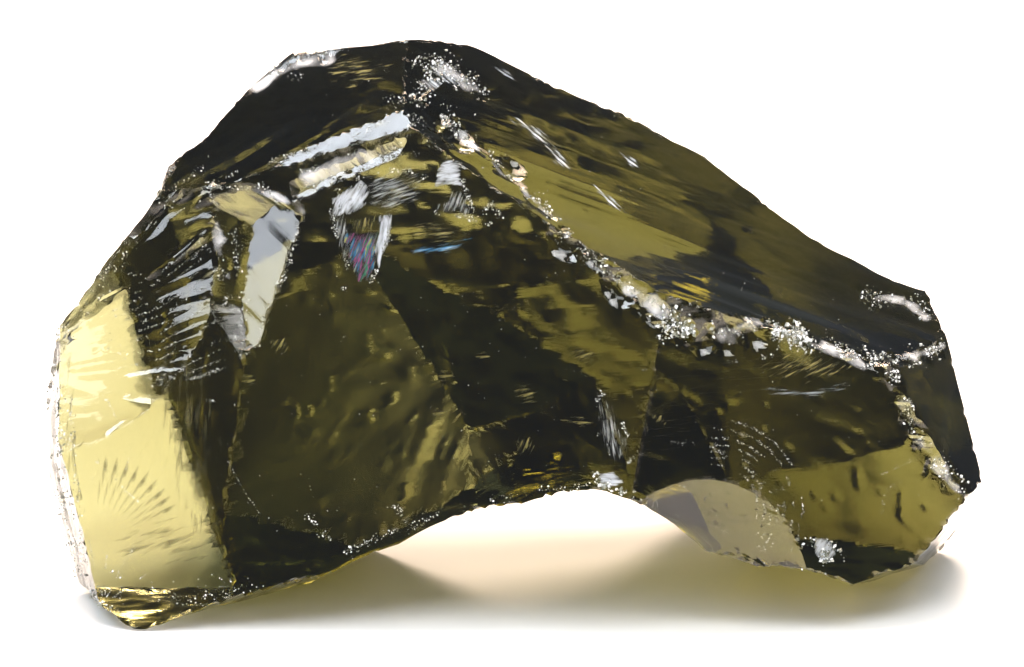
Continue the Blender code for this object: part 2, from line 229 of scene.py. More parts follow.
# Bites out of the ridges: path, mm between them, smallest and largest radius
BITTEN = (
    (RIDGE, 0.45, 0.5, 1.3),
    (RIGHT_RIDGE, 0.5, 0.5, 1.2),
)
BITE_TILT = 0.5             # how far a bite leans from square to its face
BITE_RISE = (0.80, 0.93)    # radii that its middle stands off the surface
BITE_SEED = 7

# Smallest and largest grain in mm
DUSTY = (0.013, 0.040)
FINE = (0.015, 0.070)
COARSE = (0.020, 0.100)
LARGE = (0.030, 0.160)

# Lines of crushed grains: path of sketch places, spread, grains for each mm, and their size
CRUSH_LINES = (
    # main ridge
    (((-3.8, 9.9), (-3, 9.5), (-1.4, 8.2), (0.4, 6.6), (1.5, 5.5), (2.6, 4.2), (4.4, 2.6),
      (6.2, 1.3), (7.1, 0.4), (8.4, -0.1), (10.2, 0.2), (12, 0.4), (14.2, -0.5), (16, -1.2),
      (16.9, -1.3), (18.2, -1), (19.3, -0.5)), 0.13, 40, COARSE),
    # main ridge, loose grains
    (((-3, 9.5), (0.4, 6.6), (2.6, 4.2), (6.2, 1.3), (8, 0.2), (12, 0.2),
      (16.9, -1.3)), 0.38, 20, DUSTY),
    # crushed middle of the ridge
    (((6.6, 0.7), (7.5, 0.2), (8.6, 0.1)), 0.3, 140, LARGE),
    # crushed shoulder of the ridge
    (((11.1, 0.2), (12.2, 0), (13.5, -0.5)), 0.26, 120, LARGE),
    # right end of the ridge
    (((15.1, -0.8), (17.1, -1.3), (18.9, -0.7)), 0.24, 70, COARSE),
    # ridge of the right end
    (((16.7, -1.4), (17.3, -2.3), (17.9, -3.9), (18.5, -5.2), (19.3, -6.1),
      (20.2, -7)), 0.22, 80, COARSE),
    # upper right edge
    (UPPER_RIGHT, 0.2, 40, COARSE),
    # ledge upper, top edge
    (((-12.8, 6.9), (-11.2, 7.5), (-9.5, 8), (-7.2, 8.7), (-5, 9.6),
      (-3.7, 10.2)), 0.09, 40, FINE),
    # ledge upper, bottom edge
    (((-10.1, 6.9), (-7.7, 7.7), (-5.5, 8.6), (-3.9, 9.6)), 0.07, 40, FINE),
    # ledge lower, bottom edge
    (((-9.6, 5.8), (-7.7, 6.4), (-5.2, 7.8), (-4.1, 8.7)), 0.08, 30, FINE),
    # peak
    (((-5, 9.5), (-3.9, 10.2), (-3, 9.6), (-2.2, 8.9)), 0.32, 80, COARSE),
    # crumbs above the peak
    (((-4.2, 10.5), (-3.9, 11.6), (-3.2, 12.1), (-2.5, 11.9)), 0.22, 70, COARSE),
    # crumbs right of the peak
    (((-2.8, 11.6), (-1.7, 11.1), (-1, 10.7)), 0.18, 40, COARSE),
    # kite, right edge
    (((-10.5, 5.8), (-9.5, 5.4), (-9.6, 4.2), (-10.1, 2.6), (-10.9, 1),
      (-11.3, -0.5)), 0.08, 40, FINE),
    # kite, left edge
    (((-12, 6), (-12.4, 4.8), (-12.2, 3.2), (-11.8, 1.5), (-12.2, -0.3)), 0.12, 40, FINE),
    # kite, top
    (((-13.5, 6.6), (-12.2, 6.4), (-11.2, 6.6), (-10.4, 5.9)), 0.1, 40, FINE),
    # crumbled band
    (((-13.4, 6.9), (-13.6, 5.5), (-13.3, 3.7), (-12.8, 1.9), (-12.5, 0.4),
      (-11.9, -0.7)), 0.22, 50, FINE),
    # left edge crumbs
    (((-13.7, 7.5), (-15.3, 6), (-16.2, 4.4), (-17.5, 3.2), (-18.6, 2.4),
      (-19.5, 1.5)), 0.2, 40, FINE),
    # left edge low
    (((-20.3, 1.1), (-20.6, -0.5), (-20.8, -3), (-20.6, -5.7), (-20.4, -8.3), (-19.9, -10.1),
      (-18.9, -11.5), (-17.3, -12.7)), 0.12, 30, COARSE),
    # rim line
    (((-19.7, -2.1), (-19.6, -4.3), (-19.4, -6.5), (-19.2, -9.2),
      (-18.9, -10.6)), 0.09, 30, FINE),
    # top left edge
    (((-11.5, 11.1), (-10.6, 12), (-9.5, 12.4), (-8.1, 12.4)), 0.22, 60, COARSE),
    # left edge of the roof
    (((-15.3, 7.3), (-13.9, 8.9), (-12.6, 10.2), (-11.5, 11.1)), 0.12, 30, FINE),
    # hackle crumbs upper
    (((-17.1, 2.7), (-15.5, 2.3), (-14.2, 1.9), (-12.8, 2.2)), 0.06, 40, DUSTY),
    # hackle crumbs lower
    (((-16.2, -2), (-14.8, -2.2), (-13.3, -1.7), (-11.9, -1)), 0.05, 60, DUSTY),
    # hackle crumbs lowest
    (((-15.7, -3), (-13.9, -2.9), (-12.2, -3.2)), 0.04, 30, DUSTY),
    # arch rim
    (((-7.5, -9.7), (-5, -8.7), (-1.9, -7.6), (1.3, -6.9), (3.9, -6.7),
      (5.4, -7.1)), 0.1, 30, FINE),
    # crush at the arch top
    (((3.8, -6.5), (4.5, -6.6), (5, -6.8)), 0.2, 100, LARGE),
    # arch right
    (((5.4, -7.1), (7.1, -8.8), (8.4, -9.7), (11.1, -10.4), (14.2, -10.8)), 0.1, 20, FINE),
    # scar crush
    (((13.4, -9.2), (13.9, -9.7), (14.4, -9.9)), 0.26, 100, LARGE),
    # scar streak
    (((11.2, -8.5), (12.4, -8.8)), 0.07, 70, FINE),
    # chip at the arch, left edge
    (((3.9, -2.6), (3.6, -3.4), (3.8, -4.4), (4.4, -5.4)), 0.05, 60, DUSTY),
    # chip at the arch, right edge
    (((3.9, -2.6), (4.6, -3), (4.9, -4.1), (5.5, -5.1), (4.9, -6.1)), 0.06, 60, FINE),
    # boundary of the front faces
    (((6.8, 0.2), (6.4, -0.7), (6.1, -1.4), (5.7, -2.3), (5.2, -3)), 0.08, 30, FINE),
    # small chips at the foot arch
    (((-9.5, -7.5), (-8.9, -8.3), (-8.1, -9.1), (-7.1, -9.8)), 0.14, 40, COARSE),
    # second chip at the foot arch
    (((-5.7, -7.1), (-5.1, -7.8), (-4.4, -8.6)), 0.1, 30, FINE),
    # plate, top edge
    (((-6.7, 6.9), (-5.7, 7.2), (-4.3, 7.2), (-3.8, 6.9)), 0.07, 50, FINE),
    # plate, left edge
    (((-8.1, 6), (-7.3, 6.1), (-6.6, 6.6)), 0.1, 70, FINE),
    # crack, left edge
    (((-8.1, 5.8), (-7.8, 4.4), (-7.4, 3.2), (-7.1, 2.3), (-7.5, 1.9)), 0.07, 60, FINE),
    # crack, right edge
    (((-5.4, 5.3), (-5.5, 4.2), (-5.8, 3.2), (-6.3, 2.2)), 0.06, 70, FINE),
    # white plate, bottom edge
    (((-3.4, 5.4), (-2.8, 5.2), (-2.1, 5.2), (-1.6, 5)), 0.08, 80, FINE),
    # white plate, right edge
    (((-2.3, 7.5), (-2.1, 6.4), (-1.7, 5.4)), 0.06, 70, FINE),
    # small fan
    (((-1.2, 5.4), (-0.9, 5.8), (-0.5, 5), (-1.1, 4.8)), 0.08, 40, FINE),
    # half-disc, top
    (((10.4, -1.3), (11.8, -0.8), (12.9, -0.4)), 0.1, 20, FINE),
    # ripples left of the half-disc
    (((9.1, -1), (9.7, -1.3), (10.5, -1)), 0.05, 30, DUSTY),
    # wandering line
    (((-12.6, -5.7), (-11.9, -7), (-11.2, -8)), 0.02, 20, DUSTY),
    # cracks of the thin end
    (((-19.1, -3.1), (-18.9, -4.3), (-18.9, -5.4), (-18.6, -6.5)), 0.03, 40, DUSTY),
    # curved crack of the thin end
    (((-18.4, -2.4), (-17.5, -3.9), (-16.9, -5), (-17.2, -6.1)), 0.03, 30, DUSTY),
    # slanting crack of the thin end
    (((-18.9, -5.3), (-18, -6.1), (-17.2, -7), (-16.6, -7.5)), 0.03, 30, DUSTY),
    # fan at the left foot, first line
    (((-18.2, -11.7), (-18.6, -10.6), (-18.8, -9.2)), 0.03, 40, DUSTY),
    # fan at the left foot, second line
    (((-18.1, -11.7), (-18.1, -10.4), (-17.9, -9)), 0.03, 40, DUSTY),
    # fan at the left foot, third line
    (((-18, -11.7), (-17.4, -10.4), (-16.8, -9.5)), 0.03, 40, DUSTY),
    # fan at the left foot, fourth line
    (((-17.8, -11.8), (-16.8, -11), (-16.2, -10.7)), 0.03, 40, DUSTY),
    # crumbly left foot
    (((-18.4, -10.8), (-17.1, -11.5), (-15.3, -11.8), (-13.5, -11.5),
      (-11.7, -11.2)), 0.3, 40, FINE),
    # crumbly left rim
    (((-20.1, 0.2), (-20.3, -2.1), (-20.2, -4.3), (-20.1, -6.5), (-19.9, -8.8),
      (-19.3, -10.8)), 0.22, 40, COARSE),
    # crumbs between the ledges
    (((-9.7, 6.3), (-7.7, 6.9), (-5.9, 7.7), (-4.5, 8.4)), 0.14, 80, FINE),
    # streaks over the scar
    (((5.7, -5.3), (7.1, -4.8), (8.8, -5), (10.6, -6.1), (12, -7.7)), 0.04, 30, DUSTY),
    # streaks in the scar
    (((8.4, -8.3), (9.7, -8.9), (11.2, -9.6)), 0.06, 40, DUSTY),
    # right streaks
    (((16.4, -6.3), (17.6, -5.7), (18.9, -5.4)), 0.06, 20, DUSTY),
    # right low streaks
    (((16.4, -8.1), (16.6, -7), (17.3, -6.5)), 0.06, 20, DUSTY),
)

# Round patches of grains: across, up, radius, count, and their size
CRUSH_PATCHES = (
    (-3.7, 11.7, 0.8, 200, COARSE),
    (-2.1, 11.4, 0.7, 100, COARSE),
    (-4.1, 8.2, 0.9, 100, DUSTY),
    (12.4, 0.2, 0.5, 150, LARGE),
    (8, 0.2, 0.5, 140, LARGE),
    (13.9, -9.7, 0.45, 140, LARGE),
    (4.2, -6.5, 0.35, 80, LARGE),
    (17.3, -1.7, 0.6, 140, COARSE),
    (-18.4, 1.9, 1.3, 120, COARSE),
    (-20.1, -0.3, 0.8, 100, COARSE),
    (-9.5, 12.2, 1, 150, FINE),
    (-5, 10.2, 0.8, 70, FINE),
    (16, 1.5, 0.5, 50, FINE),
)

# Dust on the faces, in the same terms
DUST = (
    (-9.5, -3, 6.5, 160, DUSTY),
    (0.4, -2.1, 6, 170, DUSTY),
    (12.9, -4.3, 6, 170, DUSTY),
    (-4.1, 8.6, 2.2, 60, DUSTY),
    (-8.1, 10.9, 4.5, 70, DUSTY),
    (6.2, 6, 6, 120, DUSTY),
    (-16.2, -5.2, 4.5, 60, DUSTY),
    (-0.5, -8.3, 4.5, 60, DUSTY),
)

# Cracks, and sheets of painted shade, painted reflection and painted glint: name, kind, outline of
# sketch places, depth in mm, turn of their streaks in degrees
VEILS = (
    ("crack_plate", "white", ((-6.6, 7), (-5.4, 7.3), (-3.9, 7.1), (-3.9, 6.1), (-4.6, 5.4),
     (-5.7, 5.3), (-6.5, 5.7)), 0.1, 20),
    ("crack_plate_left", "bright", ((-8, 6), (-6.7, 6.8), (-6.3, 6.4), (-6.5, 5.7), (-7.2, 5.3),
     (-7.9, 5.2)), 0.08, 60),
    ("crack_v_left", "white", ((-8.1, 5.9), (-7.5, 6), (-7.2, 4.4), (-7.1, 2.8), (-7.5, 3.2),
     (-7.9, 4.5)), 0.08, 80),
    ("crack_v_grey", "gold", ((-7.4, 5.2), (-5.9, 5.3), (-5.9, 4.4), (-7.2, 4.2)), 0.15, 80),
    ("crack_v_rainbow", "rainbow", ((-7.5, 4.4), (-5.9, 4.6), (-5.9, 3.7), (-6.3, 2.4), (-6.8, 2.2),
     (-7.2, 3.1)), 0.15, 68),
    ("crack_v_right", "bright", ((-5.9, 5.2), (-5.3, 5.3), (-5.5, 4), (-5.9, 2.9), (-6.1, 3.7),
     (-5.9, 4.5)), 0.06, 85),
    ("crack_white_top", "bright", ((-3.3, 7.2), (-2.9, 7.8), (-2.3, 7.6), (-2.2, 6.5), (-2.8, 6.6),
     (-3.4, 6.5)), 0.1, 10),
    ("crack_white_streaks", "white", ((-2.7, 6.6), (-2.1, 6.5), (-1.6, 5.2), (-2.2, 5.2),
     (-3.3, 5.3), (-3.5, 5.7), (-2.9, 5.9)), 0.1, 72),
    ("crack_gold", "gold", ((-5, 5), (-3.7, 5.2), (-2.2, 4.9), (-1.4, 4.4), (-2, 4), (-3.7, 3.8),
     (-4.8, 4)), 0.22, 8),
    ("crack_blue", "blue", ((-4.9, 3.8), (-3.7, 3.9), (-2.2, 4.2), (-1.4, 4.4), (-1.9, 3.8),
     (-3.2, 3.4), (-4.6, 3.4)), 0.15, 12),
    ("crack_half_disc", "gold", ((10.4, -1.5), (11.5, -0.8), (12.9, -0.4), (14.3, -0.6),
     (15.5, -1.5), (14.7, -2.2), (12.9, -2.3), (11.3, -2.1)), 0.35, 30),
    ("crack_half_disc_arc", "pale", ((10.7, -2.3), (12.4, -2.7), (14.2, -2.5), (15.4, -2),
     (15.1, -2.4), (13.8, -2.9), (12.2, -2.9), (11.1, -2.7)), 0.15, 5),
    ("chip_at_arch", "white", ((3.9, -2.7), (4.5, -3.1), (4.7, -4.1), (5.3, -5.1), (4.8, -6),
     (4.2, -5.3), (3.8, -4.2), (3.6, -3.4)), 0.12, 100),
    ("chip_scar_bright", "bright", ((13.4, -9), (14, -9.1), (14.4, -9.8), (13.9, -10.2),
     (13.4, -9.8)), 0.1, 60),
    ("chip_arch_top", "bright", ((3.8, -6.2), (4.5, -6.1), (5, -6.6), (4.4, -6.8),
     (3.9, -6.6)), 0.08, 0),
    # Pale sheets of painted reflection: bluish-white streaks and patches on the roof and the peak, where the
    # faces mirror the light above
    ("roof_streak_a", "pale", ((1.3, 8.6), (2, 8.4), (2.9, 7.2), (2.8, 7), (1.8, 7.6)), 0.03, -40),
    ("roof_streak_c", "pale", ((-0.2, 9.9), (1.3, 9.2), (2.4, 8.2), (2.1, 8), (0.8, 8.7),
     (-0.3, 9.5)), 0.03, -38),
    ("roof_streak_d", "pale", ((3.5, 6.8), (4.5, 6.1), (5.4, 5.3), (5.1, 5.2), (4.1, 5.8),
     (3.4, 6.4)), 0.03, -42),
    ("roof_streak_b", "pale", ((4.7, 8.2), (5.7, 7.8), (5.8, 7.3), (5.2, 7.4)), 0.03, -35),
    ("peak_patch", "pale", ((-4.1, 11.4), (-3.6, 12.2), (-2.9, 12.1), (-1.9, 11.4), (-1.3, 10.8),
     (-2.2, 10.9), (-3.2, 11.3), (-3.9, 10.4)), 0.04, -40),
    ("roof_patch", "gold", ((-8.7, 12), (-7.5, 12.5), (-5.9, 12.5), (-4.9, 11.9), (-5.4, 11.1),
     (-7.1, 10.6), (-8.5, 11.1)), 0.5, 10),
    # Gold flecks: small fractures, painted gold for the glints of light that they throw back
    ("fleck_a", "gold", ((-1.9, -0.8), (-0.9, -0.7), (-0.7, -1.1), (-1.6, -1.3)), 0.8, 5),
    ("fleck_b", "gold", ((-0.2, -2.3), (0.8, -2), (1.4, -2.5), (1.2, -3.2), (0.2, -3.3)), 1, 15),
    ("fleck_c", "gold", ((-3.9, -3.3), (-3.2, -3.2), (-2.7, -3.5), (-3.4, -3.9)), 0.8, 10),
    ("fleck_d", "gold", ((0, -4.6), (0.9, -4.3), (1.3, -5), (0.8, -5.7), (0.2, -5.6)), 0.9, 70),
    ("fleck_e", "gold", ((2, -3.6), (3.5, -3.5), (4.1, -4), (3, -4.3), (2.1, -4)), 0.8, 0),
    ("fleck_f", "gold", ((-12.3, -1.8), (-11.3, -1.6), (-11.2, -2.3), (-11.9, -2.6)), 0.9, 10),
    ("fleck_g", "gold", ((-11, -0.2), (-9.9, -0), (-9.7, -0.8), (-10.5, -1.2)), 0.9, 60),
    ("fleck_h", "gold", ((-3.7, -1.7), (-2.7, -1.5), (-2.3, -1.9), (-3.2, -2.2)), 0.9, 5),
    ("fleck_i", "gold", ((2.1, -0.7), (3.2, -0.4), (4.2, -0.8), (3.5, -1.5), (2.4, -1.4)), 1, 20),
    ("fleck_j", "gold", ((5.7, -3.3), (6.7, -3.6), (7, -4.2), (6.2, -4)), 0.6, 60),
    # Pale sheet of painted reflection on the roof
    ("roof_slit_patch", "pale", ((-1, 12), (-0.4, 11.9), (0.4, 11.3), (0.2, 11.2),
     (-0.6, 11.6)), 0.03, -30),
    # Dark sheets of painted shade, which darken streaks of the left end where light glows through the thin
    # crystal
    ("shade_left", "shade", ((-20.2, 0.2), (-19.5, -0.4), (-19.4, -4.0), (-19.2, -7.5), (-18.6, -10.0),
     (-19.5, -9.0), (-20.1, -5.0)), 0.20, 85.0),
    ("shade_right", "shade", ((-17.3, 1.2), (-13.5, 0.0), (-12.8, -4.5), (-12.6, -9.3), (-14.2, -10.0),
     (-15.4, -6.5), (-16.4, -2.5)), 0.30, 88.0),
    ("shade_low", "shade", ((-18.0, -8.6), (-15.0, -7.6), (-12.6, -8.2), (-13.0, -10.2), (-16.0, -10.6),
     (-18.3, -10.4)), 0.25, 20.0),
)

# Plumes of painted shade in the glowing end: dark leaves that start round a place and leave it at angles in
# degrees
PLUME_START = (-18.6, -9.6)
PLUME_ANGLES = (30.0, 36.0, 42.0, 49.0, 56.0, 63.0, 70.0, 77.0, 84.0)
PLUME_REACH = (1.4, 5.6)    # mm, from and to
PLUME_WIDTH = 0.30
PLUME_DEPTH = 0.15

# Arcs of the scar over the right foot: fine lines round a place, from one angle to another in degrees
ARC_CENTRE = (9.0, -7.7)
ARC_RADII = (1.9, 2.2, 2.5, 2.8, 3.1, 3.5, 3.9)
ARC_ANGLES = (-35.0, 95.0)
ARC_POINTS = 9

# Hackles of the shoulder: fine lines from one side to the other, (across, up) of the first and the last
HACKLE_FIRST = ((-17.9, 1.6), (-13.3, 4.6))
HACKLE_LAST = ((-18.3, -3.0), (-12.9, -1.6))
HACKLES = 15
HACKLE_SAG = (0.0, -0.35)   # mm, of the middle of each line
FINE_LINE = 0.03            # mm that the grains of a fine line spread
HACKLE_CROWD = 26           # grains for each mm
ARC_CROWD = 30

# Sheets that stand for cracks, and sheets of painted shade, painted reflection and painted glint,
# and the colours of each kind: (position, colour)
VEIL_POINTS = 48
VEIL_RINGS = 8
VEIL_FADE = 0.25            # how much a crack frays towards its outline
VEIL_FADE_POWER = 3.0       # higher keeps the fraying closer to the outline
VEIL_STREAKS = (5.0, 0.6)   # detail and distortion of the noise of its streaks
VEIL_GAPS = 1.7             # its gaps are this much finer than its streaks
VEIL_GAP_NOISE = (6.0, 0.3)
VEIL_WOBBLE = 0.06          # share that its outline wanders
WOBBLE_CROWD = 2.0          # swells of that for each mm
WOBBLE_SEED = 41
LEAST_DEPTH = 0.04          # mm that every crack lies under the face, at least
WHITE_STOPS = ((0.30, (0.16, 0.17, 0.13, 1)), (0.50, (0.50, 0.53, 0.53, 1)), (0.70, (0.85, 0.89, 0.95, 1)))
BRIGHT_STOPS = ((0.30, (0.45, 0.48, 0.50, 1)), (0.60, (0.90, 0.94, 1.0, 1)))
RAINBOW_STOPS = ((0.30, (0.10, 0.12, 0.10, 1)), (0.38, (0.02, 0.40, 0.22, 1)), (0.44, (0.60, 0.10, 0.40, 1)),
                 (0.50, (0.10, 0.12, 0.10, 1)), (0.55, (0.03, 0.30, 0.65, 1)), (0.60, (0.70, 0.60, 0.12, 1)),
                 (0.66, (0.05, 0.45, 0.30, 1)))
BLUE_STOPS = ((0.35, (0.04, 0.10, 0.12, 1)), (0.50, (0.05, 0.35, 0.75, 1)), (0.62, (0.55, 0.80, 1.0, 1)))
# pale: a crack, and the painted reflections on the roof and the peak
PALE_CRACK_AND_REFLECTION_STOPS = ((0.35, (0.08, 0.09, 0.08, 1)), (0.52, (0.40, 0.46, 0.52, 1)), (0.68, (0.72, 0.80, 0.90, 1)))
# shade: dark olive colours of painted shade
SHADE_STOPS = ((0.35, (0.030, 0.028, 0.008, 1)), (0.55, (0.16, 0.14, 0.04, 1)), (0.70, (0.42, 0.38, 0.18, 1)))
# gold: cracks, and flecks painted gold for their glints
GOLD_CRACK_AND_GLINT_STOPS = ((0.38, (0.04, 0.04, 0.015, 1)), (0.52, (0.26, 0.22, 0.07, 1)), (0.68, (0.80, 0.70, 0.30, 1)))
NO_COVER = (0, 0, 0, 1)
FULL_COVER = (1, 1, 1, 1)
# Kind: colours, stretch of the streaks, noise where it starts and ends to cover, metallic, roughness
VEIL_KINDS = {
    "white": (WHITE_STOPS, (0.7, 6.0, 1.0), (0.40, 0.62), 0.0, 0.4),
    "bright": (BRIGHT_STOPS, (1.0, 5.0, 1.0), (0.20, 0.45), 0.0, 0.4),
    "rainbow": (RAINBOW_STOPS, (0.6, 5.0, 1.0), (0.25, 0.5), 0.3, 0.3),
    "blue": (BLUE_STOPS, (0.5, 4.0, 1.0), (0.42, 0.6), 0.3, 0.3),
    "pale": (PALE_CRACK_AND_REFLECTION_STOPS, (0.6, 7.0, 1.0), (0.42, 0.62), 0.2, 0.3),
    "gold": (GOLD_CRACK_AND_GLINT_STOPS, (0.6, 5.0, 1.0), (0.46, 0.60), 0.2, 0.3),
    "shade": (SHADE_STOPS, (0.35, 2.0, 1.0), (0.46, 0.72), 0.0, 0.3),
}
GRAIN_STOPS = ((0.0, (0.05, 0.06, 0.04, 1)), (0.4, (0.24, 0.26, 0.22, 1)), (0.75, (0.66, 0.70, 0.74, 1)))
GRAIN_ROUGHNESS = 0.30

Face = namedtuple("Face", "name point outward along hollow flake")


def unit(vector):
    """Vector, or rows of vectors, of length 1."""
    vector = np.asarray(vector, float)
    return vector / np.linalg.norm(vector, axis=-1, keepdims=True)


def place(across, up, y):
    """World point of a sketch place."""
    return np.array((across, y, MIDDLE_HEIGHT + (up - y * math.sin(LEAN)) / math.cos(LEAN)))


def direction(right, rise, toward=0.0):
    """World direction from right and rise on the sketch plane, and toward its front."""
    in_plane = np.array((right, rise * math.sin(LEAN), rise * math.cos(LEAN)))
    return unit(in_plane - toward * EYE)


def face(name, point, outward, hollow=(0.0, 0.0), along=(1.0, 0.1, 0.05), flake=None):
    """Fracture face through a world point; hollow is its curvature in 1/mm, along and across."""
    outward = unit(outward)
    along = np.asarray(along, float)
    along = unit(along - outward * (along @ outward))
    return Face(name, np.asarray(point, float), outward, along, hollow, flake)


def rim(name, across, up, y, right, rise, hollow=0.0, toward=0.0):
    """Edge face of the outline, square to the sketch plane unless it turns toward the front."""
    along = direction(-rise, right)
    return face(name, place(across, up, y), direction(right, rise, toward), (hollow, 0.0), along)


def back(name, point, turn, lean, hollow=(0.0, 0.0), flake=None):
    """Face of the back: degrees turned to the right and leaned up from one that looks straight back."""
    turn, lean = math.radians(turn), math.radians(lean)
    level = math.cos(lean)
    outward = (level * math.sin(turn), level * math.cos(turn), math.sin(lean))
    return face(name, point, outward, hollow, flake=flake)


def on_face(surface, across, up, sink=0.0):
    """World point where the line square to the sketch plane meets a face, sunk below it."""
    start = place(across, up, OUTSIDE)
    sideways = np.cross(surface.outward, surface.along)

    def height(step):
        """Height over the face at a step along the line."""
        offset = start + EYE * step - surface.point
        bow = surface.hollow[0] * (offset @ surface.along) ** 2
        bow += surface.hollow[1] * (offset @ sideways) ** 2
        return offset @ surface.outward - 0.5 * bow

    near, away = 0.0, -2.0 * OUTSIDE
    for _ in range(HALVINGS):
        middle = 0.5 * (near + away)
        if height(middle) > 0.0:
            near = middle
        else:
            away = middle
    return start + EYE * near - surface.outward * sink


def through(name, a, b, c, sink=0.0, hollow=(0.0, 0.0), along=(1.0, 0.0, 0.0)):
    """Face through three points, its hollow floor sunk below their plane, looking up."""
    outward = unit(np.cross(b - a, c - a))
    if outward[2] < 0.0:
        outward = -outward
    return face(name, (a + b + c) / 3.0 - outward * sink, outward, hollow, along)


def walls(name, corners, lean, first, open_walls=()):
    """Walls of a flake, straight down to the core along its outline and leaning open."""
    result = []
    middle = np.mean(corners, axis=0)
    for i in range(first, len(corners)):
        if i in open_walls:
            continue
        a, b = corners[i], corners[(i + 1) % len(corners)]
        outer = unit(0.5 * (a + b) - np.array(CORE))
        inward = unit(np.cross(b - a, outer))
        if (middle - a) @ inward < 0.0:
            inward = -inward
        result.append(face(name, 0.5 * (a + b), inward + lean * outer, along=b - a, flake=name))
    return result


def turned(vector, axis, angle):
    """Vector turned about an axis."""
    axis = unit(axis)
    kept = axis * (axis @ vector)
    return kept + (vector - kept) * math.cos(angle) + np.cross(axis, vector) * math.sin(angle)


def hinged_flake(name, parent, outline, turn, open_walls=(), lean=0.05):
    """Flake whose floor leaves the parent face along the outline's first edge, turned by degrees."""
    corners = [on_face(parent, across, up) for across, up in outline]
    hinge = corners[1] - corners[0]
    floor = turned(parent.outward, hinge, math.radians(turn))
    if (np.mean(corners, axis=0) - corners[0]) @ floor < 0.0:
        floor = turned(parent.outward, hinge, math.radians(-turn))
    start = 0.5 * (corners[0] + corners[1])
    return [face(name, start, floor, along=hinge, flake=name)] + walls(name, corners, lean, 1, open_walls)


def sunk_flake(name, parent, outline, middle, outward, depth, hollow, open_walls, lean=0.2):
    """Flake with a hollow floor at a depth below the parent face."""
    corners = [on_face(parent, across, up) for across, up in outline]
    floor = face(name, on_face(parent, *middle, sink=depth), outward, hollow, flake=name)
    return [floor] + walls(name, corners, lean, 0, open_walls)


def front_faces():
    """The large faces that look to the front and up."""
    left = face("front_left", place(-8.15, -2.95, -4.6), (-0.20, -1.0, 0.27), (0.006, 0.004))
    right = face("front_right", place(12.4, -4.75, -6.2), (0.33, -1.0, 0.17), (-0.002, 0.004))
    roof_right = through("roof_right", on_face(left, 1.45, 5.5), on_face(right, 12.4, -0.2),
                         place(7.5, 8.85, 5.0), 0.45, (0.0, 0.045), (0.9, 0.2, -0.45))
    roof_left = through("roof_left", on_face(left, -10.15, 7.75), on_face(left, -3.45, 10.1),
                        place(-9.45, 12.95, 4.2), 0.15, (0.0, 0.02))
    right_end = face("right_end", on_face(right, 18.45, -4.3), (0.80, -0.42, 0.446))
    scar = face("scar_right", on_face(right, 8.95, -8.0, 0.9), (0.20, -0.95, -0.25), (0.13, 0.13))
    result = [left, right, roof_right, roof_left, right_end, scar]
    result += sunk_flake("shoulder", left, ((-13.7, 6.2), (-13.25, 3.2), (-12.25, -0.05), (-14.85, -2.25),
                                            (-17.95, -2.25), (-20.2, 0.15), (-18.4, 5.95)),
                         (-15.3, 1.95), (-0.43, -0.86, 0.31), 0.75, (0.05, 0.04), (2, 3, 4, 5, 6))
    kite = hinged_flake("kite", left, ((-9.45, 5.3), (-11.15, -0.5), (-12.4, -0.75), (-13.7, 1.5),
                                       (-13.8, 5.9), (-12.15, 6.6), (-10.45, 5.95)), 20.0)
    kite.append(face("kite", on_face(left, -12.6, 3.0, 0.8), left.outward, flake="kite"))
    result += kite
    result += hinged_flake("ledge_upper", left, ((-10.4, 7.1), (-3.4, 9.6), (-2.9, 10.6), (-10.6, 9.5)),
                           28.0, (2,))
    result += hinged_flake("ledge_lower", left, ((-9.7, 5.7), (-5.0, 8.0), (-4.7, 8.9), (-9.9, 6.8)), 30.0)
    return result


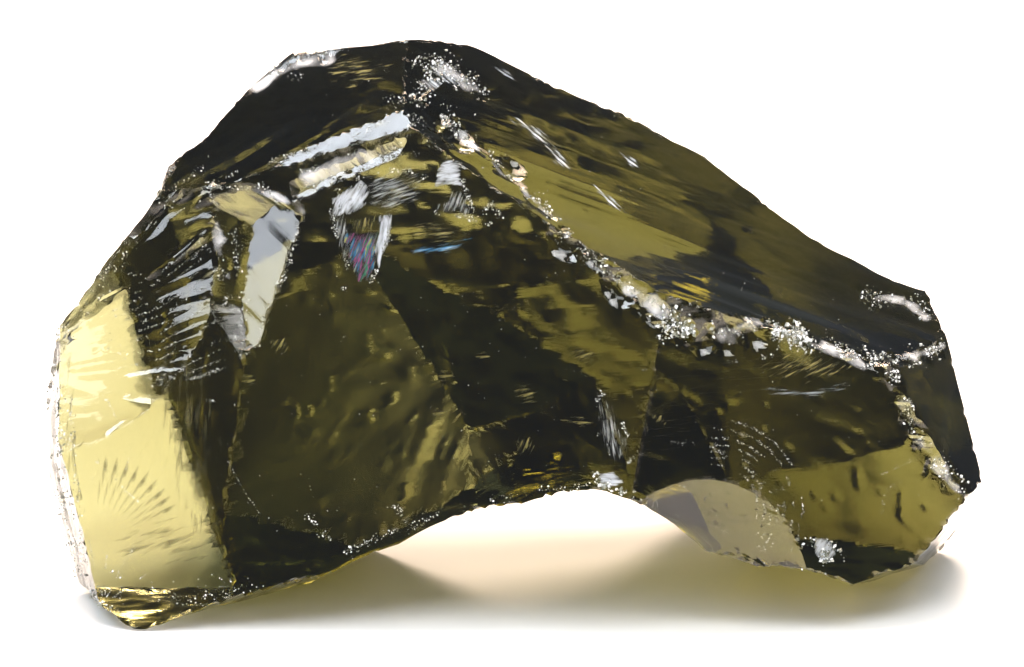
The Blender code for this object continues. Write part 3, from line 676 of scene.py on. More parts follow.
def outline_faces():
    """The faces along the outline, clockwise from the left end, and the two flat feet."""
    down = (0.0, 0.0, -1.0)
    return [
        rim("rim_left", -20.55, -2.95, 0.0, -0.90, 0.02, -0.01, 0.10),
        rim("edge_left_d", -19.95, 1.35, 1.0, -0.84, 0.54, 0.0, -0.03),
        rim("edge_left_c", -18.25, 3.35, 1.5, -0.57, 0.82, 0.27),
        rim("edge_left_b", -16.15, 5.8, 1.5, -0.86, 0.50, 0.12),
        rim("edge_left_a", -14.3, 8.35, 2.0, -0.58, 0.81, 0.20),
        rim("edge_top_left_b", -12.3, 10.45, 2.5, -0.74, 0.67, 0.03),
        rim("edge_top_left_a", -10.8, 11.85, 3.0, -0.62, 0.79),
        rim("edge_top_left", -7.25, 12.85, 3.5, -0.09, 0.99, 0.0, -0.05),
        rim("edge_top", -2.75, 13.0, 4.0, 0.10, 0.99, -0.02, -0.05),
        rim("edge_right_e", 1.45, 11.25, 5.0, 0.41, 0.91, 0.02, -0.06),
        rim("edge_right_d", 6.15, 9.2, 5.0, 0.44, 0.90, 0.0, -0.06),
        rim("edge_right_c", 10.05, 6.85, 6.0, 0.60, 0.79, 0.05, -0.03),
        rim("edge_right_b", 13.4, 4.35, 5.0, 0.53, 0.85, 0.06, -0.03),
        rim("edge_right_a", 16.9, 2.4, 5.0, 0.40, 0.91, 0.10, -0.05),
        rim("rim_right_upper", 19.45, -0.05, 0.5, 0.94, 0.34, 0.0, -0.05),
        rim("rim_right", 20.45, -4.75, 1.5, 0.97, 0.23, 0.0, -0.05),
        rim("rim_right_lower", 19.95, -8.8, 3.0, 0.78, -0.62, 0.0, 0.08),
        rim("foot_right_side", 17.1, -10.85, 0.0, 0.32, -0.95, 0.0, 0.05),
        face("foot_right", (15.0, 5.0, 0.0), down),
        rim("belly", 11.75, -10.4, 0.0, 0.0, -1.0, 0.15),
        rim("arch_f", 9.05, -9.95, 0.0, -0.42, -0.90, 0.10),
        rim("arch_e", 5.1, -7.4, -6.0, 0.0, -1.0, 0.42, -0.12),
        rim("arch_d", 3.4, -6.7, -6.0, 0.02, -0.99, 0.25, -0.12),
        rim("arch_c", 1.45, -7.05, -6.0, 0.20, -0.98, 0.20, -0.12),
        rim("arch_b", -1.9, -7.95, 0.0, 0.26, -0.96, 0.10),
        rim("arch_a", -7.0, -10.15, 0.0, 0.42, -0.90, 0.06),
        rim("foot_left_front", -11.7, -12.0, 0.0, 0.27, -0.96, 0.02, 0.05),
        face("foot_left", (-16.0, 0.0, 0.0), down),
        rim("foot_left_side", -18.65, -11.9, 0.0, -0.60, -0.80),
        rim("rim_left_lower", -19.8, -9.5, -0.5, -0.90, -0.22, 0.0, 0.15),
    ]


def back_faces():
    """The back: walls turned by WALL_TURN behind the front, sloping faces above, and a thinned left end."""
    return [
        back("back_top", (-1.0, 8.0, 26.0), -35.0, 40.0, TOP_HOLLOW),
        back("back_upper_left", (-14.0, 5.0, 20.0), -70.0, 25.0, TOP_HOLLOW),
        back("back_corner", (11.0, 8.0, 13.0), 10.0, 30.0),
        back("back_right", (5.0, 10.0, 11.0), 20.0, 20.0),
        back("back_low_right", (15.0, 9.0, 9.0), 25.0, 0.0),
        back("back_left", (-17.0, 8.0, 11.0), -WALL_TURN, 0.0),
        back("undercut", (1.0, 8.0, 13.0), -WALL_TURN, -15.0, (0.03, 0.0), "undercut"),
        back("undercut_left", (-5.0, 6.0, 0.0), WALL_TURN, -10.0, flake="undercut"),
        back("undercut_right", (9.0, 3.0, 0.0), -WALL_TURN, -50.0, flake="undercut"),
        back("thin_end", (-18.0, 4.0, 8.0), 0.0, -25.0, flake="thin_end"),
        back("thin_end_step", (-15.0, 4.0, 7.0), -90.0, -20.0, flake="thin_end"),
    ]


def meet(surface, rays):
    """Distance from the core along each ray to one face."""
    sideways = np.cross(surface.outward, surface.along)
    offset = np.array(CORE) - surface.point
    bow_along, bow_side = surface.hollow
    along0, side0 = offset @ surface.along, offset @ sideways
    along1, side1 = rays @ surface.along, rays @ sideways
    square = 0.5 * (bow_along * along1 ** 2 + bow_side * side1 ** 2)
    linear = bow_along * along0 * along1 + bow_side * side0 * side1 - rays @ surface.outward
    constant = 0.5 * (bow_along * along0 ** 2 + bow_side * side0 ** 2) - offset @ surface.outward
    inside = linear ** 2 - 4.0 * square * constant
    root = np.sqrt(np.maximum(inside, 0.0))
    half = -0.5 * (linear + np.where(linear >= 0.0, root, -root))
    with np.errstate(divide="ignore", invalid="ignore"):
        first = np.where(np.abs(square) > FLAT, half / square, FAR)
        second = np.where(np.abs(half) > FLAT, constant / half, FAR)
    first = np.where((inside >= 0.0) & (first > NEAREST), first, FAR)
    second = np.where((inside >= 0.0) & (second > NEAREST), second, FAR)
    passed = (constant < 0.0) & (rays @ surface.outward > 0.0)
    return np.where(passed, 0.0, np.minimum(first, second))


def group_flakes(faces):
    """Lists of face numbers: one for each plain face and one for each flake."""
    groups = {}
    for number, surface in enumerate(faces):
        key = surface.flake or "face_%d" % number
        groups.setdefault(key, []).append(number)
    return list(groups.values())


def reach(faces, rays):
    """Distance from the core to the crystal's surface along each ray, and the face met there."""
    distance = np.full(len(rays), FAR)
    met = np.zeros(len(rays), int)
    for members in group_flakes(faces):
        depth = np.zeros(len(rays))
        which = np.full(len(rays), members[0])
        for number in members:
            one = meet(faces[number], rays)
            if faces[number].name.startswith(BACK_NAMES):
                one = one - BACK_SWELL * (1.0 + FINER_SHARE + back_waves(rays, number))
            deeper = one > depth
            depth[deeper] = one[deeper]
            which[deeper] = number
        nearer = depth < distance
        distance[nearer] = depth[nearer]
        met[nearer] = which[nearer]
    return distance, met


def back_waves(rays, number):
    """Waves of a back face, within 1 + FINER_SHARE either way."""
    large = soft_noise(rays * BACK_SWELLS + number, BACK_SEEDS[0])
    return large + FINER_SHARE * soft_noise(rays * BACK_SWELLS * FINER_SWELLS + number, BACK_SEEDS[1])


def ball():
    """Directions and triangles of an evenly split icosahedron."""
    bm = bmesh.new()
    bmesh.ops.create_icosphere(bm, subdivisions=1, radius=1.0)
    bmesh.ops.subdivide_edges(bm, edges=bm.edges[:], cuts=SPLITS - 1, use_grid_fill=True)
    bmesh.ops.triangulate(bm, faces=bm.faces[:])
    bm.verts.index_update()
    rays = unit([vert.co[:] for vert in bm.verts])
    triangles = np.array([[vert.index for vert in item.verts] for item in bm.faces])
    bm.free()
    return rays, triangles


def halved(rays, triangles):
    """The same ball with each triangle split into four at the middles of its edges."""
    edges = edges_of(triangles)
    number = {tuple(edge): len(rays) + k for k, edge in enumerate(edges.tolist())}
    split = []
    for a, b, c in triangles.tolist():
        ab, bc, ca = (number[min(pair), max(pair)] for pair in ((a, b), (b, c), (c, a)))
        split += [(a, ab, ca), (ab, b, bc), (ca, bc, c), (ab, bc, ca)]
    return np.concatenate((rays, unit(rays[edges].sum(axis=1)))), np.array(split)


def edges_of(triangles):
    """Each edge once."""
    pairs = np.concatenate((triangles[:, (0, 1)], triangles[:, (1, 2)], triangles[:, (2, 0)]))
    return np.unique(np.sort(pairs, axis=1), axis=0)


def density(points):
    """How much smaller the triangles are wanted at each point; the front has the finer ones."""
    result = 1.0 + FRONT_GAIN * np.clip(1.0 - points[:, 1] / FRONT_FADE, 0.0, 1.0)
    for sketch, radius, gain in DENSE:
        distance = np.linalg.norm(points - place(*sketch), axis=1)
        result += gain * np.exp(-(distance / radius) ** 2)
    return result


def spread(faces, rays, edges, rounds):
    """Move the rays so that the triangles are even on the surface, and smaller where it is detailed."""
    core = np.array(CORE)
    for _ in range(rounds):
        points = core + rays * reach(faces, rays)[0][:, None]
        ends = points[edges]
        pull = np.linalg.norm(ends[:, 0] - ends[:, 1], axis=1) * density(ends.mean(axis=1))
        total = np.zeros_like(points)
        weight = np.zeros(len(points))
        for here, there in ((0, 1), (1, 0)):
            np.add.at(total, edges[:, here], ends[:, there] * pull[:, None])
            np.add.at(weight, edges[:, here], pull)
        rays = unit(0.5 * (total / weight[:, None] + points) - core)
    return rays


def even_ball(faces):
    """Rays and triangles spread over the crystal, from a coarse ball halved again and again."""
    rays, triangles = ball()
    for halving, rounds in enumerate(SMOOTHING_ROUNDS):
        if halving:
            rays, triangles = halved(rays, triangles)
        edges = edges_of(triangles)
        rays = spread(faces, rays, edges, rounds)
    return sharpen(faces, rays, edges), triangles


def sharpen(faces, rays, edges):
    """Move the corners next to a ridge onto it, so that ridges are edges of the mesh."""
    for _ in range(RIDGE_ROUNDS):
        met = reach(faces, rays)[1]
        crossing = edges[met[edges[:, 0]] != met[edges[:, 1]]]
        low, high = np.zeros(len(crossing)), np.ones(len(crossing))
        start, end = rays[crossing[:, 0]], rays[crossing[:, 1]]
        for _ in range(RIDGE_HALVINGS):
            share = 0.5 * (low + high)
            middle = unit(start * (1.0 - share)[:, None] + end * share[:, None])
            still = reach(faces, middle)[1] == met[crossing[:, 0]]
            low = np.where(still, share, low)
            high = np.where(still, high, share)
        ridge = unit(start * (1.0 - low)[:, None] + end * low[:, None])
        corner = np.where(low < 0.5, crossing[:, 0], crossing[:, 1])
        far = np.minimum(low, 1.0 - low)
        order = np.argsort(-far)
        rays = rays.copy()
        rays[corner[order]] = ridge[order]
    return rays


def seen(tree, across, up):
    """Place, outward normal and triangle of the surface that the eye meets at a sketch place."""
    spot, normal, number, _ = tree.ray_cast(Vector(place(across, up, OUTSIDE)), Vector(EYE))
    if spot is None:
        return None
    return np.array(spot), np.array(normal), number


def hashed(cells, seed):
    """Even random numbers from 0 to 1, one for each row of three whole numbers."""
    mixed = (cells * np.array(HASH_PRIMES)).sum(axis=-1) + seed * HASH_SEED
    for _ in range(2):
        mixed = (mixed ^ (mixed >> HASH_SHIFT)) * HASH_FACTOR & HASH_MASK
    return (mixed ^ (mixed >> HASH_SHIFT)) / float(HASH_MASK)


def soft_noise(points, seed):
    """Smooth noise from -1 to 1, about one swell for each unit of length."""
    cell = np.floor(points).astype(np.int64)
    part = points - cell
    part = part * part * (3.0 - 2.0 * part)
    total = np.zeros(points.shape[:-1])
    for corner in np.ndindex(2, 2, 2):
        share = np.prod(np.where(np.array(corner) == 1, part, 1.0 - part), axis=-1)
        total += share * hashed(cell + np.array(corner), seed)
    return 2.0 * total - 1.0


def rough_noise(points, size, seed):
    """Noise from about -1 to 1 with swells of a size in mm, and finer ones on them."""
    total = np.zeros(points.shape[:-1])
    for octave in range(OCTAVES):
        total += soft_noise(points / size * 2.0 ** octave, seed + octave) / 2.0 ** octave
    return total / 1.5


def blocks(points, size, seed):
    """Noise from 0 to 1 that is flat over blocks of a size in mm, like broken grains."""
    scaled = points / size + BLOCK_WANDER * soft_noise(points[..., None, :] / size, seed)
    home = np.floor(scaled).astype(np.int64)
    best = np.full(points.shape[:-1], FAR)
    value = np.zeros(points.shape[:-1])
    for step in np.ndindex(3, 3, 3):
        cell = home + np.array(step) - 1
        jitter = np.stack([hashed(cell, seed + k) for k in (1, 2, 3)], axis=-1)
        distance = np.linalg.norm(cell + jitter - scaled, axis=-1)
        nearer = distance < best
        best = np.where(nearer, distance, best)
        value = np.where(nearer, hashed(cell, seed + 4), value)
    return value


def turned_run(along, side, turn):
    """Places along and across a run that is turned by degrees."""
    angle = math.radians(turn)
    return (along * math.cos(angle) + side * math.sin(angle),
            side * math.cos(angle) - along * math.sin(angle))


def along_run(surface, points, turn):
    """Places in mm along and across a run on a face, turned by degrees."""
    offset = points - surface.point
    sideways = np.cross(surface.outward, surface.along)
    return turned_run(offset @ surface.along, offset @ sideways, turn)


def swells(surface, points, turn, long, wide, seed):
    """Noise from -1 to 1, drawn out along a run on a face."""
    run, width = along_run(surface, points, turn)
    return soft_noise(np.stack((run / long, width / wide, np.zeros_like(run)), axis=-1), seed)


def fan(points, origin, spacing, seed):
    """Hackles from 0 to 1 that run out from a sketch place; spacing is their angle in degrees."""
    across = points[:, 0] - origin[0]
    up = sketch_up(points) - origin[1]
    angle = np.degrees(np.arctan2(up, across)) / spacing
    distance = np.hypot(across, up)
    swell = np.stack((across / FAN_SWELL[0], up / FAN_SWELL[1], 0.0 * up), axis=-1)
    wander = FAN_WANDER * soft_noise(swell, seed + 7)
    phase = np.stack((angle + wander, distance / FAN_LENGTH, 0.0 * up), axis=-1)
    return np.abs(soft_noise(phase, seed))


def arcs(points, centre, spacing, seed):
    """Ripples from -1 to 1 round a sketch place, steeper on their outer side, and the distance from it."""
    across = points[:, 0] - centre[0]
    up = sketch_up(points) - centre[1]
    distance = np.hypot(across, up)
    swell = np.stack((across, up, 0.0 * up), axis=-1) / RIPPLE_SWELL
    phase = distance / spacing + RIPPLE_WANDER * soft_noise(swell, seed)
    saw = phase - np.floor(phase)
    wave = np.where(saw < RIPPLE_RISE, saw / RIPPLE_RISE, (1.0 - saw) / (1.0 - RIPPLE_RISE))
    return wave * 2.0 - 1.0, distance


def sketch_up(points):
    """How high on the sketch plane world points lie."""
    return (points[:, 2] - MIDDLE_HEIGHT) * math.cos(LEAN) + points[:, 1] * math.sin(LEAN)


def relief(faces, met, points):
    """Depth in mm that each corner is sunk below its face: the marks of the fracture."""
    depth = np.zeros(len(points))
    for number, surface in enumerate(faces):
        on = met == number
        if not on.any():
            continue
        kind = surface.name
        if kind not in SWELLS:
            kind = "back" if kind.startswith(BACK_NAMES) else "rim"
        depth[on] = other_marks(kind, points[on])
        for swell_depth, turn, long, wide, seed in SWELLS[kind]:
            depth[on] += swell_depth * (1.0 + swells(surface, points[on], turn, long, wide, seed))
    return depth


def other_marks(kind, points):
    """Depth of the marks that only one kind of face has."""
    if kind == "shoulder":
        return SHOULDER_DEPTH * fan(points, SHOULDER_FAN, SHOULDER_SPACING, SHOULDER_SEED)
    if kind == "scar_right":
        ripple, distance = arcs(points, SCAR_MIDDLE, SCAR_SPACING, SCAR_SEED)
        return SCAR_DEPTH * (1.0 + ripple) * np.interp(distance, SCAR_SHOWN, (0.0, 1.0, 1.0, 0.0))
    if kind == "back":
        return PIT_DEPTH * np.clip(soft_noise(points / PIT_SIZE, PIT_SEED) - PIT_START, 0.0, None)
    if kind in LUMPS:
        depth, size, seed = LUMPS[kind]
        return depth * (1.0 + rough_noise(points, size, seed))
    return np.zeros(len(points))


def streak_runs(faces, met, points):
    """Places in mm along and across the fine streaks of each face, which the material draws."""
    runs = np.zeros_like(points)
    for number, surface in enumerate(faces):
        on = met == number
        run, width = along_run(surface, points[on], STREAK_TURNS.get(surface.name, 0.0))
        crowd = STREAK_CROWDS.get(surface.name, 1.0)
        runs[on] = np.stack((run * crowd, width * crowd, np.full_like(run, number)), axis=-1)
    return runs


def chipped(points, rays, distance, bites):
    """Distance from the core after small round bites are taken out of the surface."""
    core = np.array(CORE)
    for centre, radius in bites:
        offset = core - centre
        half = rays @ offset
        inside = half ** 2 - (offset @ offset - radius ** 2)
        hit = -half - np.sqrt(np.maximum(inside, 0.0))
        distance = np.where((inside > 0.0) & (hit > 0.0), np.minimum(distance, hit), distance)
    return distance


def path_distance(points, path):
    """Distance from each point to a path, both in mm."""
    best = np.full(len(points), FAR)
    for start, end in zip(path[:-1], path[1:]):
        run = end - start
        share = np.clip((points - start) @ run / (run @ run), 0.0, 1.0)
        best = np.minimum(best, np.linalg.norm(points - start - share[:, None] * run, axis=1))
    return best


def crystal_surface(faces, rays, triangles):
    """Corners in mm, the marks of each corner, and the tree of the plain faces."""
    core = np.array(CORE)
    distance, met = reach(faces, rays)
    points = core + rays * distance[:, None]
    tree = BVHTree.FromPolygons(points.tolist(), triangles.tolist())
    outward = np.array([surface.outward for surface in faces])[met]
    slope = np.clip((outward * rays).sum(axis=1), GRAZING, 1.0)
    sunk = relief(faces, met, points)
    broken = blocks(points, CRUSH_BLOCK, BLOCK_SEED)
    white = np.clip(CRUSH_SHARE + rough_noise(points, CRUSH_PATCH, PATCH_SEED), 0.0, 1.0)
    crushed = np.zeros(len(points))
    for path, width, depth in CRUSHED:
        spots = [seen(tree, across, up) for across, up in path]
        line = [spot[0] for spot in spots if spot is not None]
        near = np.exp(-(path_distance(points, np.array(line)) / width) ** 2)
        sunk += depth * near * broken
        crushed = np.maximum(crushed, near * white)
    distance = distance - sunk / slope
    distance = chipped(points, rays, distance, ridge_bites(tree))
    frosted = np.array([surface.name.startswith(BACK_NAMES) for surface in faces], float)[met]
    marks = {"crushed": crushed, "frosted": frosted, "run": streak_runs(faces, met, points)}
    return core + rays * distance[:, None], marks, tree


def ridge_bites(tree):
    """Small round bites along the ridges: centre and radius, in mm."""
    random = np.random.default_rng(BITE_SEED)
    result = []
    for path, spacing, low, high in BITTEN:
        for (a, b), (c, d) in zip(path[:-1], path[1:]):
            count = max(1, int(math.hypot(c - a, d - b) / spacing))
            for _ in range(count):
                share = random.random()
                spot = seen(tree, a + (c - a) * share, b + (d - b) * share)
                radius = random.uniform(low, high)
                tilt = unit(random.normal(size=3)) * BITE_TILT
                if spot is None:
                    continue
                away = unit(spot[1] + tilt)
                result.append((spot[0] + away * radius * random.uniform(*BITE_RISE), radius))
    return result


def make_mesh(name, corners, triangles):
    """Mesh object in metres from corners in mm."""
    mesh = bpy.data.meshes.new(name)
    mesh.from_pydata((np.asarray(corners) * MM).tolist(), [], np.asarray(triangles).tolist())
    mesh.update()
    piece = bpy.data.objects.new(name, mesh)
    bpy.context.scene.collection.objects.link(piece)
    return piece


def give(mesh, name, values):
    """Attribute of a mesh, with a number or a vector for each corner."""
    values = np.asarray(values, np.float32)
    kind, field = ("FLOAT", "value") if values.ndim == 1 else ("FLOAT_VECTOR", "vector")
    mesh.attributes.new(name, kind, "POINT").data.foreach_set(field, values.ravel())


def crystal_box():
    """Lowest and highest corner in mm of the box round the solid, in the frame."""
    return [np.array(corner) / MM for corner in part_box(NODE)]


def belong(piece, material):
    """Give a piece its material and make it part of the crystal's body."""
    piece.data.materials.append(material)
    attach(piece, "root")


def resampled(outline, count):
    """Places spread evenly round a closed outline."""
    corners = np.array(outline + outline[:1])
    lengths = np.linalg.norm(np.diff(corners, axis=0), axis=1)
    reached = np.concatenate(((0.0,), np.cumsum(lengths)))
    wanted = np.linspace(0.0, reached[-1], count, endpoint=False)
    return np.stack([np.interp(wanted, reached, corners[:, axis]) for axis in (0, 1)], axis=1)


def veil(name, tree, shift, outline, depth, turn, material):
    """Sheet at a depth in mm, seen through the face in front of it: a crack, painted shade, reflection or
    glint.

    The sheet keeps its own places along and across its run, turned by degrees, for the material."""
    edge = resampled(outline, VEIL_POINTS)
    middle = edge.mean(axis=0)
    swell = np.c_[edge * WOBBLE_CROWD, np.zeros(len(edge))]
    wobble = 1.0 + VEIL_WOBBLE * soft_noise(swell, WOBBLE_SEED)
    inward = max(LEAST_DEPTH, depth) * EYE
    corners, offsets, rims, triangles = [], [], [], []
    for ring in range(VEIL_RINGS + 1):
        for k in range(VEIL_POINTS):
            across, up = middle + (edge[k] - middle) * wobble[k] * ring / VEIL_RINGS
            spot = seen(tree, across, up)
            start = spot[0] if spot is not None else place(across, up, 0.0)
            corners.append(start + shift + inward)
            offsets.append((across - middle[0], up - middle[1]))
            rims.append(ring / VEIL_RINGS)
            if ring:
                here, following = ring * VEIL_POINTS + k, ring * VEIL_POINTS + (k + 1) % VEIL_POINTS
                triangles.append((here - VEIL_POINTS, here, following))
                triangles.append((here - VEIL_POINTS, following, following - VEIL_POINTS))
    piece = make_mesh(name, corners, triangles)
    run, width = turned_run(*np.transpose(offsets), turn)
    give(piece.data, "run", np.stack((run, width, np.zeros_like(run)), axis=1))
    give(piece.data, "rim", rims)
    piece.data.shade_smooth()
    belong(piece, material)


def shard(random, size):
    """Corners of one small angular grain, as an uneven octahedron."""
    axes = np.concatenate((np.eye(3), -np.eye(3)))
    stretch = random.uniform(*GRAIN_STRETCH, size=3)
    corners = axes * stretch * random.uniform(*GRAIN_UNEVEN, size=(6, 1)) * size
    turn = np.linalg.qr(random.normal(size=(3, 3)))[0]
    return corners @ turn


SHARD_FACES = np.array(((0, 1, 2), (1, 3, 2), (3, 4, 2), (4, 0, 2),
                        (1, 0, 5), (3, 1, 5), (4, 3, 5), (0, 4, 5)))


def grains(name, tree, shift, spots, seed, material):
    """One piece of many angular grains that sit in the surface. A spot is (across, up, size)."""
    random = np.random.default_rng(seed)
    corners, triangles, tones = [], [], []
    for across, up, size in spots:
        found = seen(tree, across, up)
        if found is None or rough_noise(found[0], GRAIN_CLUSTER, CLUSTER_SEED) < GRAIN_GAPS:
            continue
        triangles.append(SHARD_FACES + 6 * len(corners))
        grain = shard(random, size)
        corners.append(grain + found[0] + found[1] * size * random.uniform(*GRAIN_HEIGHT) + shift)
        tones.append(random.random())
    inside = np.clip(np.concatenate(corners), *crystal_box())
    piece = make_mesh(name, inside, np.concatenate(triangles))
    give(piece.data, "tone", np.repeat(tones, 6))
    belong(piece, material)


def along_lines(lines, seed):
    """Spots of grains along paths: each line is (path, spread, grains for each mm, their size)."""
    random = np.random.default_rng(seed)
    spots = []
    for path, spread_width, crowd, (low, high) in lines:
        for (a, b), (c, d) in zip(path[:-1], path[1:]):
            length = math.hypot(c - a, d - b)
            for _ in range(max(1, int(round(length * crowd)))):
                share = random.random()
                off = random.normal(size=2) * spread_width
                size = low + (high - low) * random.random() ** 2
                spots.append((a + (c - a) * share + off[0], b + (d - b) * share + off[1], size))
    return spots


def scattered(patches, seed):
    """Spots of grains scattered over round patches: each patch is (across, up, radius, count, size)."""
    random = np.random.default_rng(seed)
    spots = []
    for across, up, radius, count, (low, high) in patches:
        for _ in range(count):
            angle, away = random.uniform(0.0, 2.0 * math.pi), radius * math.sqrt(random.random())
            size = low + (high - low) * random.random() ** 3
            spots.append((across + away * math.cos(angle), up + away * math.sin(angle), size))
    return spots


def ramp(nodes, links, source, stops):
    """Colour ramp node fed by a socket; a stop is (position, colour)."""
    node = nodes.new("ShaderNodeValToRGB")
    elements = node.color_ramp.elements
    while len(elements) < len(stops):
        elements.new(0.5)
    for element, (position, colour) in zip(elements, stops):
        element.position = position
        element.color = colour
    links.new(source, node.inputs["Fac"])
    return node.outputs["Color"]


def noise_along(nodes, links, scale, stretch, detail, wander):
    """Noise socket over the attribute "run", drawn out by a stretch."""
    source = nodes.new("ShaderNodeAttribute")
    source.attribute_name = "run"
    mapping = nodes.new("ShaderNodeMapping")
    mapping.inputs["Scale"].default_value = stretch
    links.new(source.outputs["Vector"], mapping.inputs["Vector"])
    noise = nodes.new("ShaderNodeTexNoise")
    for socket, value in (("Scale", scale), ("Detail", detail), ("Distortion", wander)):
        noise.inputs[socket].default_value = value
    links.new(mapping.outputs["Vector"], noise.inputs["Vector"])
    return noise.outputs["Fac"]


def new_material(name):
    """Material with nodes: itself, its nodes, its links and the inputs of its shader."""
    material = bpy.data.materials.new(name)
    material.use_nodes = True
    nodes, links = material.node_tree.nodes, material.node_tree.links
    return material, nodes, links, nodes["Principled BSDF"].inputs


def attribute(nodes, name):
    """Socket with the value of a mesh attribute."""
    node = nodes.new("ShaderNodeAttribute")
    node.attribute_name = name
    return node.outputs["Fac"]


def mapped(nodes, links, source, start, end, low, high):
    """Socket that goes from low to high while its source goes from start to end."""
    node = nodes.new("ShaderNodeMapRange")
    for socket, value in zip(("From Min", "From Max", "To Min", "To Max"), (start, end, low, high)):
        node.inputs[socket].default_value = value
    links.new(source, node.inputs["Value"])
    return node.outputs["Result"]


def veil_material(name, stops, stretch, cover, metallic, roughness):
    """Thin crack that throws light back, or sheet of painted shade, reflection or glint: streaks of colour,
    and gaps where it is see-through.
    """
    material, nodes, links, inputs = new_material(name)
    inputs["Metallic"].default_value = metallic
    inputs["Roughness"].default_value = roughness
    streaks = noise_along(nodes, links, 1.0, stretch, *VEIL_STREAKS)
    links.new(ramp(nodes, links, streaks, stops), inputs["Base Color"])
    gaps = noise_along(nodes, links, VEIL_GAPS, stretch, *VEIL_GAP_NOISE)
    fade = nodes.new("ShaderNodeMath")
    fade.operation = "POWER"
    fade.inputs[1].default_value = VEIL_FADE_POWER
    links.new(attribute(nodes, "rim"), fade.inputs[0])
    ragged = nodes.new("ShaderNodeMath")
    ragged.operation = "MULTIPLY_ADD"
    ragged.inputs[1].default_value = -VEIL_FADE
    links.new(fade.outputs["Value"], ragged.inputs[0])
    links.new(gaps, ragged.inputs[2])
    covered = tuple(zip(cover, (NO_COVER, FULL_COVER)))
    links.new(ramp(nodes, links, ragged.outputs["Value"], covered), inputs["Alpha"])
    return material


def grain_material():
    """Crushed crystal: pale, with greyer and darker grains among the bright ones."""
    material, nodes, links, inputs = new_material("crushed_brazilianite")
    inputs["Roughness"].default_value = GRAIN_ROUGHNESS
    inputs["IOR"].default_value = IOR
    links.new(ramp(nodes, links, attribute(nodes, "tone"), GRAIN_STOPS), inputs["Base Color"])
    return material


def crystal_material():
    """Clear yellow-green crystal: plain transmission, IOR and absorption."""
    material, nodes, links, inputs = new_material("clear_brazilianite")
    inputs["IOR"].default_value = IOR
    inputs["Base Color"].default_value = TINT
    clear = mapped(nodes, links, attribute(nodes, "crushed"), CLEAR_FROM, CLEAR_TO, 1.0, CLOUDY)
    links.new(clear, inputs["Transmission Weight"])
    matt = mapped(nodes, links, attribute(nodes, "frosted"), 0.0, 1.0, POLISHED, FROSTED)
    links.new(matt, inputs["Roughness"])
    streaks = nodes.new("ShaderNodeBump")
    streaks.inputs["Distance"].default_value = STREAK_DEPTH * MM
    links.new(noise_along(nodes, links, 1.0, STREAK_SIZE, *STREAK_NOISE), streaks.inputs["Height"])
    links.new(streaks.outputs["Normal"], inputs["Normal"])
    absorb = nodes.new("ShaderNodeVolumeAbsorption")
    density = max(ABSORPTION)
    absorb.inputs["Density"].default_value = density
    absorb.inputs["Color"].default_value = tuple(1.0 - band / density for band in ABSORPTION) + (1.0,)
    links.new(absorb.outputs["Volume"], nodes["Material Output"].inputs["Volume"])
    return material


def crystal_piece(faces, rays, triangles, shift):
    """The crystal itself, in place of its solid, and the tree of its plain faces."""
    corners, marks, tree = crystal_surface(faces, rays, triangles)
    inside = np.clip(corners + shift, *crystal_box())
    piece = make_mesh("brazilianite_crystal", inside, triangles)
    for name, values in marks.items():
        give(piece.data, name, values)
    piece.data.shade_smooth()
    piece.data.set_sharp_from_angle(angle=math.radians(SHARP_ANGLE))
    belong(piece, crystal_material())
    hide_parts(NODE)
    return tree


def shade_plume(angle):
    """Outline of a narrow leaf of painted shade that leaves PLUME_START at an angle in degrees."""
    angle = math.radians(angle)
    ahead = np.array((math.cos(angle), math.sin(angle)))
    side = np.array((-ahead[1], ahead[0]))
    near, far = PLUME_REACH
    middle = 0.5 * (near + far)
    return [tuple(np.array(PLUME_START) + ahead * run + side * PLUME_WIDTH * share)
            for run, share in ((near, 0.0), (middle, -1.0), (far, 0.0), (middle, 1.0))]


def arc_lines():
    """Fine lines of grains that curve over the scar."""
    sweep = np.radians(np.linspace(*ARC_ANGLES, ARC_POINTS))
    across, up = ARC_CENTRE
    lines = []
    for radius in ARC_RADII:
        path = tuple((across + radius * math.cos(angle), up + radius * math.sin(angle)) for angle in sweep)
        lines.append((path, FINE_LINE, ARC_CROWD, DUSTY))
    return tuple(lines)


def hackle_lines():
    """Fine lines of grains over the shoulder, spread evenly between the first and the last."""
    lines = []
    for share in np.linspace(0.0, 1.0, HACKLES):
        ends = [tuple((1.0 - share) * np.array(a) + share * np.array(b))
                for a, b in zip(HACKLE_FIRST, HACKLE_LAST)]
        middle = tuple(0.5 * (np.array(ends[0]) + np.array(ends[1])) + HACKLE_SAG)
        lines.append(((ends[0], middle, ends[1]), FINE_LINE, HACKLE_CROWD, DUSTY))
    return tuple(lines)


def marks_on_crystal(tree, shift):
    """Grains, dust, cracks and sheets of painted shade, reflection and glint, each where it lies on or
    just under the faces.
    """
    crushed = grain_material()
    lines = along_lines(CRUSH_LINES + hackle_lines() + arc_lines(), CRUSH_SEEDS[0])
    patches = scattered(CRUSH_PATCHES, CRUSH_SEEDS[1])
    grains("crushed_ridges", tree, shift, lines + patches, CRUSH_SEEDS[2], crushed)
    grains("dust", tree, shift, scattered(DUST, DUST_SEEDS[0]), DUST_SEEDS[1], crushed)
    # Materials of the sheets: the shade kind paints shade, the pale kind also paints reflections, the gold
    # kind also paints glints
    kinds = {kind: veil_material(kind + "_crack", *values) for kind, values in VEIL_KINDS.items()}
    for name, kind, outline, depth, turn in VEILS:
        veil(name, tree, shift, outline, depth, turn, kinds[kind])
    # Plumes: dark leaves of painted shade over the glowing left end
    for number, angle in enumerate(PLUME_ANGLES):
        veil("plume_%d" % number, tree, shift, shade_plume(angle), PLUME_DEPTH, angle, kinds["shade"])


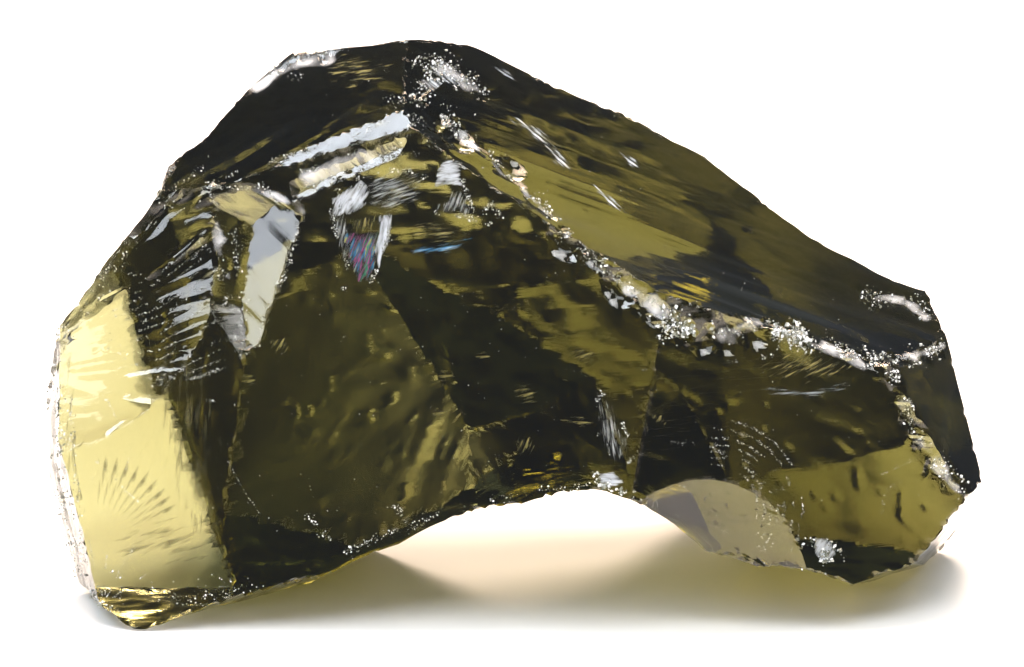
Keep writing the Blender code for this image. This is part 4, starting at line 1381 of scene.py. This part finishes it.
def stage(shift):
    """Pale floor, soft lights and the camera."""
    corners = [(x, y, FLOOR_HEIGHT) for x, y in FLOOR_CORNERS]
    mesh = bpy.data.meshes.new("floor")
    mesh.from_pydata(corners, [], [(0, 1, 2, 3)])
    material, _, _, inputs = new_material("pale_floor")
    inputs["Base Color"].default_value = FLOOR_COLOUR
    inputs["Roughness"].default_value = FLOOR_ROUGHNESS
    mesh.materials.append(material)
    floor = bpy.data.objects.new("floor", mesh)
    bpy.context.scene.collection.objects.link(floor)
    world = bpy.data.worlds.new("soft_world")
    bpy.context.scene.world = world
    world.use_nodes = True
    background = world.node_tree.nodes["Background"]
    background.inputs["Color"].default_value = WORLD_COLOUR
    background.inputs["Strength"].default_value = WORLD_STRENGTH
    for name, spot, target, size, beam, power, colour in LIGHTS:
        lamp = bpy.data.lights.new(name, "AREA")
        lamp.shape = "RECTANGLE"
        lamp.size, lamp.size_y = size
        lamp.spread = math.radians(beam)
        lamp.energy = power
        lamp.color = colour
        light = bpy.data.objects.new(name, lamp)
        light.location = spot
        light.rotation_euler = (Vector(target) - Vector(spot)).to_track_quat("-Z", "Y").to_euler()
        bpy.context.scene.collection.objects.link(light)
    camera = bpy.data.objects.new("camera", bpy.data.cameras.new("camera"))
    middle = Vector((shift + (0.0, 0.0, MIDDLE_HEIGHT)) * MM)
    camera.location = middle - Vector(EYE) * CAMERA_DISTANCE
    camera.rotation_euler = (math.pi / 2.0 - LEAN, 0.0, 0.0)
    camera.data.sensor_width = SENSOR
    camera.data.lens = SENSOR * CAMERA_DISTANCE / PICTURE_WIDTH
    camera.data.clip_start = CLIP_START
    bpy.context.scene.collection.objects.link(camera)
    bpy.context.scene.camera = camera


def frame_shift(faces, rays):
    """Offset in mm from the sketch's own places to the frame, where the solid lies."""
    points = np.array(CORE) + rays * reach(faces, rays)[0][:, None]
    low, high = crystal_box()
    return (low + high - points.min(axis=0) - points.max(axis=0)) / 2.0


def main():
    """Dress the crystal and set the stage."""
    scene = bpy.context.scene
    scene.view_settings.view_transform = "Standard"
    scene.cycles.max_bounces = BOUNCES
    scene.cycles.transmission_bounces = BOUNCES
    scene.cycles.glossy_bounces = GLOSSY_BOUNCES
    faces = front_faces() + outline_faces() + back_faces()
    rays, triangles = even_ball(faces)
    shift = frame_shift(faces, rays)
    tree = crystal_piece(faces, rays, triangles, shift)
    marks_on_crystal(tree, shift)
    stage(shift)


main()
